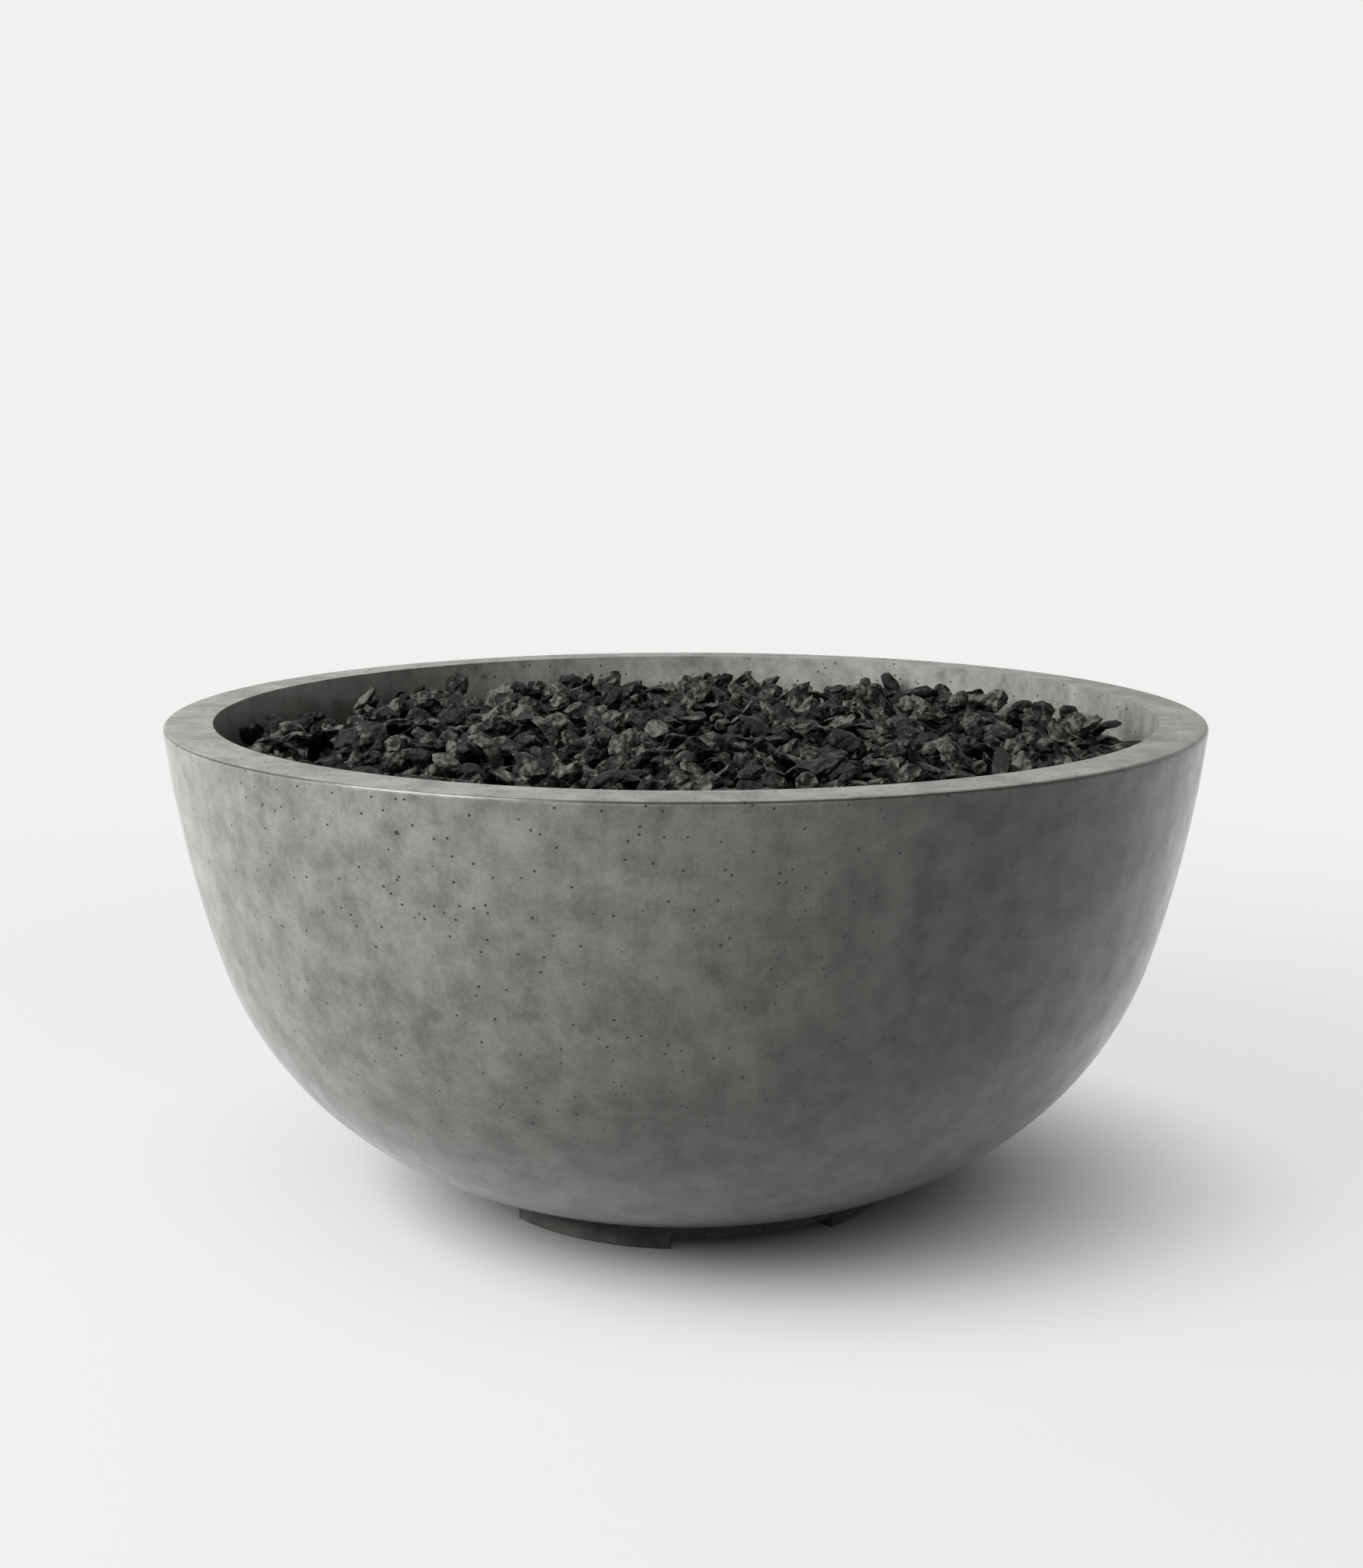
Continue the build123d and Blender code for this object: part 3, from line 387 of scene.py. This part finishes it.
# %% Metals, rubber and plastics
FINISHES = {
    # slot: common name, dark, light, metallic, smoothest, roughest, grain mm, stretch, depth mm
    "stainless": ("brushed stainless steel", "#84837F", "#B5B4B0", 1.0, 0.24, 0.42, 0.9, 45, 0.03),
    "black_iron": ("black malleable iron", "#18181A", "#343435", 0.5, 0.45, 0.68, 1.6, 1, 0.16),
    "zinc_steel": ("zinc plated steel", "#94989B", "#C4C8CB", 1.0, 0.26, 0.46, 5.0, 1, 0.02),
    "brass": ("turned brass", "#9C7839", "#D2B06C", 1.0, 0.2, 0.4, 1.2, 8, 0.02),
    "satin_nickel": ("satin nickel plate", "#8A867F", "#B7B3AB", 1.0, 0.28, 0.4, 0.7, 20, 0.02),
    "seat_plastic": ("moulded fluoropolymer", "#E3E2DC", "#EFEEE9", 0.0, 0.4, 0.52, 2.0, 1, 0.01),
    "seal_rubber": ("nitrile rubber", "#0E0E0F", "#1F1F20", 0.0, 0.55, 0.75, 1.0, 1, 0.02),
    "grey_plastic": ("moulded grey vinyl", "#515356", "#66686B", 0.0, 0.42, 0.58, 3.0, 1, 0.03),
}
GRAIN_DETAIL, GRAIN_ROUGHNESS, GRAIN_STRENGTH = 4.0, 0.58, 0.6


def drifting_finish(name, dark, light, metallic, smoothest, roughest, grain_mm, stretch, depth_mm):
    """A surface whose colour and roughness drift with its grain, which is stretched along X."""
    material, add, place = new_finish(name)
    drawn_out = add("ShaderNodeMapping", {"Vector": place, "Scale": (1 / stretch, 1.0, 1.0)})[0]
    grain = add("ShaderNodeTexNoise", {
        "Vector": drawn_out, "Scale": per_metre(grain_mm),
        "Detail": GRAIN_DETAIL, "Roughness": GRAIN_ROUGHNESS,
    })[0]
    drift = (grain, DRIFT_LOW, DRIFT_HIGH, smoothest, roughest)
    mix = {0: grain, COLOUR_A: linear(dark), COLOUR_B: linear(light)}
    skin = {"Height": grain, "Distance": depth_mm * MM, "Strength": GRAIN_STRENGTH}
    return finish_with(material, {
        "Base Color": add("ShaderNodeMix", mix, data_type="RGBA")[COLOUR_MIXED],
        "Metallic": metallic,
        "Roughness": add("ShaderNodeMapRange", drift, interpolation_type="SMOOTHSTEP")[0],
        "Normal": add("ShaderNodeBump", skin)[0],
    })


finishes = {slot: drifting_finish(*facts) for slot, facts in FINISHES.items()}
finishes["concrete"] = concrete
finishes["lava_stone"] = lava
for subpart in frame["record"]["subparts"]:
    node = frame["nodes"][subpart["node"]]
    node.data.materials.clear()
    raw = subpart["node"] == "foot_ring"
    node.data.materials.append(raw_concrete if raw else finishes[subpart["material_slot"]])

# %% [markdown]
# Crushed froth breaks in three ways: knobbly lumps, angular chips with flat breaks, and
# thin curled flakes of crust. Each starts as a small ball whose points are pushed in at
# random. A lump is that rough ball, a chip is its convex hull, and a flake is the ball
# pressed thin and bent. A dozen shapes are enough, once each is turned and scaled, so
# Geometry Nodes keep them as instances to pick from.

# %% The shapes of the stones
STONE_SHARES = [
    # length, width and height as shares of the stone size, the bend, and whether it is a chip
    (1.0, 0.85, 0.62, 0.0, False),
    (1.15, 0.72, 0.56, 0.2, False),
    (0.88, 0.8, 0.64, 0.0, False),
    (1.25, 0.78, 0.46, 0.35, False),
    (0.95, 0.72, 0.52, 0.0, True),
    (1.2, 0.62, 0.42, 0.0, True),
    (0.9, 0.84, 0.46, 0.0, True),
    (1.25, 0.9, 0.3, 0.45, False),
    (1.15, 0.95, 0.26, 0.65, False),
    (1.4, 0.62, 0.28, -0.5, False),
    (1.25, 0.8, 0.22, -0.6, False),
    (1.35, 0.7, 0.27, 0.4, False),
]
BALL_RADIUS, BALL_SUBDIVISIONS, PUSHED_IN = 0.545, 2, 0.62
RANDOM_VECTOR, RANDOM_NUMBER = 0, 1  # the outputs of a Random Value node
LEAST, MOST = 2, 3  # its inputs for a number


def stone_shapes(tree, add):
    """Adds a chain of nodes for each shape, and returns the output that holds them as instances."""
    shapes = add("GeometryNodeJoinGeometry")[0]
    for number, (length, width, height, bend, chip) in enumerate(STONE_SHARES):
        ball = add("GeometryNodeMeshIcoSphere", (BALL_RADIUS, BALL_SUBDIVISIONS))[0]
        reach = add(
            "FunctionNodeRandomValue", {LEAST: PUSHED_IN, MOST: 1.0, "Seed": number}, data_type="FLOAT"
        )[RANDOM_NUMBER]
        spot = add("GeometryNodeInputPosition")[0]
        pushed = add("ShaderNodeVectorMath", {0: spot, "Scale": reach}, operation="SCALE")[0]
        rough = add("GeometryNodeSetPosition", {"Geometry": ball, "Position": pushed})[0]
        if chip:
            rough = add("GeometryNodeConvexHull", (rough,))[0]
        sized = add("GeometryNodeTransform", {"Geometry": rough, "Scale": (length, width, height)})[0]
        along = add("ShaderNodeSeparateXYZ", (add("GeometryNodeInputPosition")[0],))[0]
        squared = add("ShaderNodeMath", (along, along), operation="MULTIPLY")[0]
        rise = add("ShaderNodeMath", (squared, bend), operation="MULTIPLY")[0]
        upwards = add("ShaderNodeCombineXYZ", {2: rise})[0]
        bent = add("GeometryNodeSetPosition", {"Geometry": sized, "Offset": upwards})[0]
        single = add("GeometryNodeGeometryToInstance", (bent,))[0]
        feed(tree, shapes.node, (single,))
    return shapes


print("stone shapes", len(STONE_SHARES), "of which chips", sum(facts[-1] for facts in STONE_SHARES))

# %% [markdown]
# The heap lies on the pan's flange and on the stones below, and ends at the wall, which
# leans outwards, so the tray still lifts straight up. Its size is read from the part: the
# flange gives the foot and the radius, and a line fitted to the inner wall gives the
# lean.

# %% The room for the heap
RIM_MARGIN = 25 * MM
FOOT_GAP, TOP_GAP = 0.5 * MM, 4 * MM

flange_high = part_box("burner_pan")[1]
heap_radius = float(flange_high.x)
heap_foot = float(flange_high.z) + FOOT_GAP
heap_top = bowl_height - TOP_GAP
shell_points = np.array([vertex.co for vertex in frame["nodes"]["bowl_shell"].data.vertices])
shell_radii = np.hypot(shell_points[:, 0], shell_points[:, 1])
above_flange = shell_points[:, 2] - flange_high.z
on_inner_wall = (above_flange > 0) & (shell_radii < bowl_radius - RIM_MARGIN)
wall_slope, wall_foot = np.polyfit(above_flange[on_inner_wall], shell_radii[on_inner_wall], 1)
print("heap radius", round(heap_radius, 4), "foot", round(heap_foot, 4), "top", round(heap_top, 4))
print("wall slope", round(wall_slope, 3), "wall foot", round(wall_foot, 4))

# %% [markdown]
# Laying thousands of stones by hand is out of the question, and a plain copy of one stone
# would show. So points are spread over four discs, one for each level, with a least
# distance between them. Each point takes a stone at random, with its own height, size,
# turn and tone. The two low levels are hardly seen, so their stones are larger, and fewer.

# %% One level of stones
STONE_SIZE = 24 * MM
LEVELS = [
    # height of the stones' middles above the foot, least distance between them, share of the stone size
    (9 * MM, 26 * MM, 1.75),
    (37 * MM, 18.2 * MM, 1.0),
    (50 * MM, 17.3 * MM, 1.0),
    (24 * MM, 20 * MM, 1.375),
]
LEVEL_SPREAD, CROWN, SMALL_SINK = 4.5 * MM, 5 * MM, 14 * MM
EDGE_INSET, DISC_SIDES = 6 * MM, 128
SMALLEST, LARGEST = 0.4, 1.2
DARKEST, PALEST = -0.3, 0.95
STONE_TILT = math.radians(45)
LEAST_TURN = (-STONE_TILT, -STONE_TILT, 0.0)
MOST_TURN = (STONE_TILT, STONE_TILT, math.tau)
POINTS_PER_SQUARE_METRE = 20000
HEAP_SEED, LEVEL_SEED_STEP, SIZE_SEED, TONE_SEED = 23, 10, 3, 20


def raised_points(add, given, disc, height, spacing, seed, size):
    """Points on a disc, raised to their level: higher near the middle, and lower for a small stone."""
    points = add(
        "GeometryNodeDistributePointsOnFaces",
        {"Mesh": disc, "Distance Min": spacing, "Density Max": POINTS_PER_SQUARE_METRE, "Seed": seed},
        distribute_method="POISSON",
    )[0]
    spot = add("GeometryNodeInputPosition")[0]
    from_axis = add("ShaderNodeVectorMath", (spot,), operation="LENGTH")["Value"]
    out_share = add("ShaderNodeMath", (from_axis, given["Heap Radius"]), operation="DIVIDE")[0]
    squared = add("ShaderNodeMath", (out_share, out_share), operation="MULTIPLY")[0]
    crown_share = add("ShaderNodeMath", (1.0, squared), operation="SUBTRACT")[0]
    crown = add("ShaderNodeMath", (crown_share, given["Crown"]), operation="MULTIPLY")[0]
    spread = {LEAST: height - LEVEL_SPREAD, MOST: height + LEVEL_SPREAD, "Seed": seed}
    level = add("FunctionNodeRandomValue", spread, data_type="FLOAT")[RANDOM_NUMBER]
    crowned = add("ShaderNodeMath", (level, crown), operation="ADD")[0]
    smaller = add("ShaderNodeMath", (size, LARGEST), operation="SUBTRACT")[0]
    sunk = add("ShaderNodeMath", (smaller, SMALL_SINK), operation="MULTIPLY")[0]
    above_foot = add("ShaderNodeMath", (crowned, sunk), operation="ADD")[0]
    raised = add("ShaderNodeMath", (above_foot, given["Heap Foot"]), operation="ADD")[0]
    upwards = add("ShaderNodeCombineXYZ", {2: raised})[0]
    return add("GeometryNodeSetPosition", {"Geometry": points, "Offset": upwards})[0]


def stone_level(add, given, shapes, number):
    """One level of stones as instances, each with its size, turn and tone."""
    height, spacing, size_share = LEVELS[number]
    seed = add("ShaderNodeMath", (given["Seed"], LEVEL_SEED_STEP * number), operation="ADD")[0]
    reach = add("ShaderNodeMath", (given["Heap Radius"], EDGE_INSET), operation="SUBTRACT")[0]
    disc = add(
        "GeometryNodeMeshCircle", {"Vertices": DISC_SIDES, "Radius": reach}, fill_type="TRIANGLE_FAN"
    )[0]
    sizes = {LEAST: SMALLEST, MOST: LARGEST, "Seed": SIZE_SEED + number}
    size = add("FunctionNodeRandomValue", sizes, data_type="FLOAT")[RANDOM_NUMBER]
    turns = {0: LEAST_TURN, 1: MOST_TURN, "Seed": seed}
    full_size = add("ShaderNodeMath", (given["Stone Size"], size_share), operation="MULTIPLY")[0]
    stones = add("GeometryNodeInstanceOnPoints", {
        "Points": raised_points(add, given, disc, height, spacing, seed, size),
        "Instance": shapes,
        "Pick Instance": True,
        "Rotation": add("FunctionNodeRandomValue", turns, data_type="FLOAT_VECTOR")[RANDOM_VECTOR],
        "Scale": add("ShaderNodeMath", (size, full_size), operation="MULTIPLY")[0],
    })[0]
    tones = {LEAST: DARKEST, MOST: PALEST, "Seed": TONE_SEED + number}
    tone = add("FunctionNodeRandomValue", tones, data_type="FLOAT")[RANDOM_NUMBER]
    return add(
        "GeometryNodeStoreNamedAttribute", {"Geometry": stones, "Name": TONE, "Value": tone},
        data_type="FLOAT", domain="INSTANCE",
    )[0]


longest = max(facts[0] for facts in STONE_SHARES) * 2 * BALL_RADIUS * LARGEST * STONE_SIZE
print("levels", len(LEVELS), "and no stone in the upper two is longer than", round(longest / MM, 1), "mm")

# %% [markdown]
# The levels are joined and made real, because an export drops instances. What would reach
# into the wall or the pan is pressed back to it, and edges between faces that meet at a
# low angle are shaded smooth, so a stone has sharp breaks and rounded knobs. The sizes
# are the tree's inputs, and new_from_object turns the result into a plain mesh.

# %% The heap of stones
STAYS_SMOOTH = math.radians(46)
HEAP_INPUTS = {
    # input: kind of socket, value
    "Heap Radius": ("NodeSocketFloat", heap_radius),
    "Heap Foot": ("NodeSocketFloat", heap_foot),
    "Wall Slope": ("NodeSocketFloat", float(wall_slope)),
    "Stone Size": ("NodeSocketFloat", STONE_SIZE),
    "Crown": ("NodeSocketFloat", CROWN),
    "Seed": ("NodeSocketInt", HEAP_SEED),
    "Stone": ("NodeSocketMaterial", lava),
}


def pressed_back(add, given, stones):
    """The stones, with each point brought back inside the wall and above the foot."""
    place = add("ShaderNodeSeparateXYZ", (add("GeometryNodeInputPosition")[0],))
    level = add("ShaderNodeMath", (place[2], given["Heap Foot"]), operation="MAXIMUM")[0]
    above = add("ShaderNodeMath", (level, given["Heap Foot"]), operation="SUBTRACT")[0]
    lean = add("ShaderNodeMath", (above, given["Wall Slope"]), operation="MULTIPLY")[0]
    limit = add("ShaderNodeMath", (lean, given["Heap Radius"]), operation="ADD")[0]
    flat = add("ShaderNodeCombineXYZ", (place[0], place[1]))[0]
    radius = add("ShaderNodeVectorMath", (flat,), operation="LENGTH")["Value"]
    room = add("ShaderNodeMath", (limit, radius), operation="DIVIDE")[0]
    share = add("ShaderNodeMath", (room, 1.0), operation="MINIMUM")[0]
    inside = add("ShaderNodeVectorMath", {0: flat, "Scale": share}, operation="SCALE")[0]
    upright = add("ShaderNodeCombineXYZ", {2: level})[0]
    pressed = add("ShaderNodeVectorMath", (inside, upright), operation="ADD")[0]
    return add("GeometryNodeSetPosition", {"Geometry": stones, "Position": pressed})[0]


def heap_tree():
    """The tree that spreads, joins, presses, shades and finishes the stones."""
    tree = bpy.data.node_groups.new("lava stone heap", "GeometryNodeTree")
    tree.interface.new_socket(name="Geometry", in_out="OUTPUT", socket_type="NodeSocketGeometry")
    for name, facts in HEAP_INPUTS.items():
        tree.interface.new_socket(name=name, in_out="INPUT", socket_type=facts[0])
    add = partial(add_node, tree)
    given = add("NodeGroupInput")
    shapes = stone_shapes(tree, add)
    joined = add("GeometryNodeJoinGeometry")[0]
    for number in range(len(LEVELS)):
        feed(tree, joined.node, (stone_level(add, given, shapes, number),))
    stones = pressed_back(add, given, add("GeometryNodeRealizeInstances", (joined,))[0])
    angle = add("GeometryNodeInputMeshEdgeAngle")[0]
    gentle = add("FunctionNodeCompare", (angle, STAYS_SMOOTH), data_type="FLOAT", operation="LESS_THAN")[0]
    shaded = {"Geometry": stones, "Shade Smooth": gentle}
    rounded = add("GeometryNodeSetShadeSmooth", shaded, domain="EDGE")[0]
    finished = add("GeometryNodeSetMaterial", {"Geometry": rounded, "Material": given["Stone"]})[0]
    add("NodeGroupOutput", (finished,))
    return tree


def grow_heap():
    """The heap as one plain mesh, with its stones where the tree spread them."""
    maker = bpy.data.objects.new("heap_maker", bpy.data.meshes.new("heap_maker"))
    bpy.context.scene.collection.objects.link(maker)
    modifier = maker.modifiers.new("heap", "NODES")
    modifier.node_group = heap_tree()
    for socket in modifier.node_group.interface.items_tree:
        if socket.in_out == "INPUT":
            modifier[socket.identifier] = HEAP_INPUTS[socket.name][1]
    evaluated = maker.evaluated_get(bpy.context.evaluated_depsgraph_get())
    heap = bpy.data.objects.new("lava_stone_heap", bpy.data.meshes.new_from_object(evaluated))
    bpy.context.scene.collection.objects.link(heap)
    maker.modifiers.clear()
    bpy.data.objects.remove(maker)
    return heap


heap = grow_heap()
print("heap faces", len(heap.data.polygons))

# %% [markdown]
# Stones that are spread at random don't all lie on something, and one that hangs in the
# air shows as soon as the tray is lifted. A rigid body simulation would settle them, but
# slowly. Here they are taken lowest first. One that cuts into none of the stones settled
# before it is let down straight, until a corner of it bites into one of them or meets the
# flange. One that stands too high under the rim is lowered whole. The wall is narrower
# lower down, so at the end every point is pressed back inside it. Blender's search tree
# finds the cuts and the distances. It is built anew for each band of stones, not for each
# stone, to save time.

# %% Letting the hanging stones down
BANDS = 16
BITE = 1.5 * MM
DOWN = Vector((0.0, 0.0, -1.0))


def stone_numbers(mesh):
    """The number of the stone that each point is on: a new one starts where no edge passes."""
    ends = np.empty(2 * len(mesh.edges), dtype=np.int32)
    mesh.edges.foreach_get("vertices", ends)
    ends = np.sort(ends.reshape(-1, 2), axis=1)
    passing = np.zeros(len(mesh.vertices) + 1, dtype=int)
    np.add.at(passing, ends[:, 0] + 1, 1)
    np.add.at(passing, ends[:, 1] + 1, -1)
    return np.cumsum(np.cumsum(passing)[:-1] == 0) - 1


def fall_of(corners, faces, settled):
    """How far a stone falls: not at all if it cuts into a settled one, or else until it lies on something."""
    if settled.overlap(BVHTree.FromPolygons(corners.tolist(), faces)):
        return 0.0
    hits = [settled.ray_cast(corner, DOWN)[3] for corner in corners]
    to_stones = [distance + BITE for distance in hits if distance is not None]
    return min(to_stones + [corners[:, 2].min() - heap_foot])


def let_down(mesh):
    """Lowers the stones that hang in the air, lowest first, and returns how far each stone fell."""
    points = np.array([vertex.co for vertex in mesh.vertices])
    stone_of = stone_numbers(mesh)
    starts = np.searchsorted(stone_of, np.arange(stone_of[-1] + 2))
    stone_faces = [[] for start in starts[1:]]
    for face in mesh.polygons:
        stone_faces[stone_of[face.vertices[0]]].append(tuple(face.vertices))
    lowest = np.minimum.reduceat(points[:, 2], starts[:-1])
    settled_faces = []
    falls = []
    for band in np.array_split(np.argsort(lowest), BANDS):
        settled = BVHTree.FromPolygons(points.tolist(), settled_faces)
        for stone in band:
            own = slice(starts[stone], starts[stone + 1])
            own_faces = [[corner - starts[stone] for corner in face] for face in stone_faces[stone]]
            falls.append(fall_of(points[own], own_faces, settled))
            points[own, 2] -= falls[-1]
            points[own, 2] -= max(points[own, 2].max() - heap_top, 0.0)
            settled_faces.extend(stone_faces[stone])
    radii = np.hypot(points[:, 0], points[:, 1])
    limits = heap_radius + wall_slope * (points[:, 2] - heap_foot)
    points[:, :2] *= np.minimum(limits / radii, 1.0)[:, None]
    mesh.vertices.foreach_set("co", points.ravel())
    mesh.update()
    return np.array(falls)


falls = let_down(heap.data)
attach(heap, "burner_tray")
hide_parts("lava_rocks_top")
heap_points = np.array([vertex.co for vertex in heap.data.vertices])
print("stones", len(falls), "let down", (falls > 0).sum(), "by up to", round(falls.max() / MM, 1), "mm")
print("heap low", heap_points.min(0).round(4), "high", heap_points.max(0).round(4))

# %% [markdown]
# The camera stands where the photograph was taken: in front of the bowl and a little
# above the rim, tilted down by ten degrees. Its place, tilt and lens come from the two
# ellipses of the rim, which fix a camera once the rim's size is known.

# %% Camera
CAMERA_BACK, CAMERA_SIDE, CAMERA_ABOVE_RIM = 1.4364, -0.003, 0.2002
CAMERA_TILT = math.radians(10.11)
CAMERA_LENS_MM = 45.8

camera_data = bpy.data.cameras.new("photo_view")
camera_data.lens = CAMERA_LENS_MM
camera = bpy.data.objects.new("photo_view", camera_data)
camera.location = (CAMERA_SIDE, -CAMERA_BACK, bowl_height + CAMERA_ABOVE_RIM)
camera.rotation_euler = (math.pi / 2 - CAMERA_TILT, 0.0, 0.0)
bpy.context.scene.collection.objects.link(camera)
bpy.context.scene.camera = camera
print("camera at", [round(c, 3) for c in camera.location])

# %% [markdown]
# The bowl stands on a pale floor that runs on until it meets the white room. Seen by the
# camera or in a reflection, the floor far from the bowl is simply pale, as the paper of
# a studio is, and close to the bowl it takes the light and keeps the shadow. To the light
# that bounces up from it, the floor is darker, so the bowl's underside stays in shade.

# %% Floor
FLOOR_HALF = 60.0
SHADOW_NEAR, SHADOW_FAR, SHADOW_END = 0.16, 0.5, 2.0
SHADOW_STRETCH = (1.0, 1.3, 1.0)
PALE_SHARE = 0.83
PALE = linear("#F1F1F0")
BOUNCED_PAPER, SEEN_PAPER = linear("#5C5C5B"), linear("#DCDCDB")


def pale_share(add, place):
    """How far the floor is plain pale: not at all under the bowl, and wholly far from it."""
    stretched = add("ShaderNodeVectorMath", (place, SHADOW_STRETCH), operation="MULTIPLY")[0]
    distance = add("ShaderNodeVectorMath", (stretched,), operation="LENGTH")["Value"]
    near = add(
        "ShaderNodeMapRange", (distance, SHADOW_NEAR, SHADOW_FAR, 0.0, PALE_SHARE),
        interpolation_type="SMOOTHSTEP",
    )[0]
    far = add(
        "ShaderNodeMapRange", (distance, SHADOW_FAR, SHADOW_END, 0.0, 1.0 - PALE_SHARE),
        interpolation_type="SMOOTHSTEP",
    )[0]
    return add("ShaderNodeMath", (near, far), operation="ADD")[0]


def studio_paper():
    """Matt paper near the bowl, which fades into an even pale ground."""
    material, add, place = new_finish("matt white paper")
    path = add("ShaderNodeLightPath")
    shown = add("ShaderNodeMath", (path["Is Camera Ray"], path["Is Glossy Ray"]), operation="MAXIMUM")[0]
    seen = add("ShaderNodeMath", (shown, path["Is Transmission Ray"]), operation="MAXIMUM")[0]
    mix = {0: seen, COLOUR_A: BOUNCED_PAPER, COLOUR_B: SEEN_PAPER}
    finish_with(material, {
        "Base Color": add("ShaderNodeMix", mix, data_type="RGBA")[COLOUR_MIXED],
        "Roughness": 0.9,
        "Specular IOR Level": 0.1,
    })
    paper = material.node_tree.nodes["Principled BSDF"].outputs[0]
    glow = add("ShaderNodeEmission", {"Color": PALE, "Strength": seen})[0]
    ground = add("ShaderNodeMixShader", (pale_share(add, place), paper, glow))[0]
    feed(material.node_tree, material.node_tree.nodes["Material Output"], {"Surface": ground})
    return material


def pale_floor():
    """A flat sheet, wide enough to reach the horizon."""
    mesh = bpy.data.meshes.new("pale_floor")
    corners = [(-1, -1), (1, -1), (1, 1), (-1, 1)]
    mesh.from_pydata([(FLOOR_HALF * x, FLOOR_HALF * y, 0.0) for x, y in corners], [], [(0, 1, 2, 3)])
    mesh.materials.append(studio_paper())
    floor = bpy.data.objects.new("pale_floor", mesh)
    bpy.context.scene.collection.objects.link(floor)
    return floor


floor = pale_floor()
print("floor", round(floor.dimensions.x), "m wide")

# %% [markdown]
# One large lamp from the upper left makes the soft shade across the bowl, and a dim room
# fills in. Seen straight, the room is as white as the floor. In a reflection it is white
# only behind the bowl, which lights up the sealed concrete along its outline and leaves
# the front matt.

# %% Lamp and room
LAMP_AIM_SHARE = 0.6
LAMP_AIM = Vector((0.0, 0.0, LAMP_AIM_SHARE * bowl_height))
LAMP_FROM = Vector((-0.68, -0.4, 0.6)).normalized()
LAMP_DISTANCE, LAMP_SIZE, LAMP_WATTS = 3.0, 1.9, 135.0
ROOM_LIGHT, DIM_FRONT = 0.125, 0.25
FRONT_END, BACK_START = -0.3, 0.7
NUMBER_A, NUMBER_B = 2, 3  # the sockets of a Mix node that mixes numbers


def main_lamp():
    """A square soft lamp that faces the bowl."""
    lamp_data = bpy.data.lights.new("window_lamp", "AREA")
    lamp_data.shape = "SQUARE"
    lamp_data.size = LAMP_SIZE
    lamp_data.energy = LAMP_WATTS
    lamp = bpy.data.objects.new("window_lamp", lamp_data)
    lamp.location = LAMP_AIM + LAMP_FROM * LAMP_DISTANCE
    lamp.rotation_mode = "QUATERNION"
    lamp.rotation_quaternion = (-LAMP_FROM).to_track_quat("-Z", "Y")
    bpy.context.scene.collection.objects.link(lamp)
    return lamp


def white_room():
    """A dim room for light. Seen straight it is white, and reflected it is white only behind the bowl."""
    world = bpy.data.worlds.new("white_room")
    world.use_nodes = True
    bpy.context.scene.world = world
    add = partial(add_node, world.node_tree)
    path = add("ShaderNodeLightPath")
    backwards = add("ShaderNodeSeparateXYZ", (add("ShaderNodeTexCoord")["Generated"],))[1]
    reflected = add(
        "ShaderNodeMapRange", (backwards, FRONT_END, BACK_START, DIM_FRONT, 1.0),
        interpolation_type="SMOOTHSTEP",
    )[0]
    level = add("ShaderNodeMix", {0: path["Is Glossy Ray"], NUMBER_A: ROOM_LIGHT, NUMBER_B: reflected})[0]
    seen = add(
        "ShaderNodeMath", (path["Is Camera Ray"], path["Is Transmission Ray"]), operation="MAXIMUM"
    )[0]
    strength = add("ShaderNodeMix", {0: seen, NUMBER_A: level, NUMBER_B: 1.0})[0]
    feed(world.node_tree, world.node_tree.nodes["Background"], {"Color": PALE, "Strength": strength})


lamp = main_lamp()
white_room()
bpy.context.scene.view_settings.view_transform = "Standard"
print("lamp at", [round(c, 2) for c in lamp.location], "watts", LAMP_WATTS)
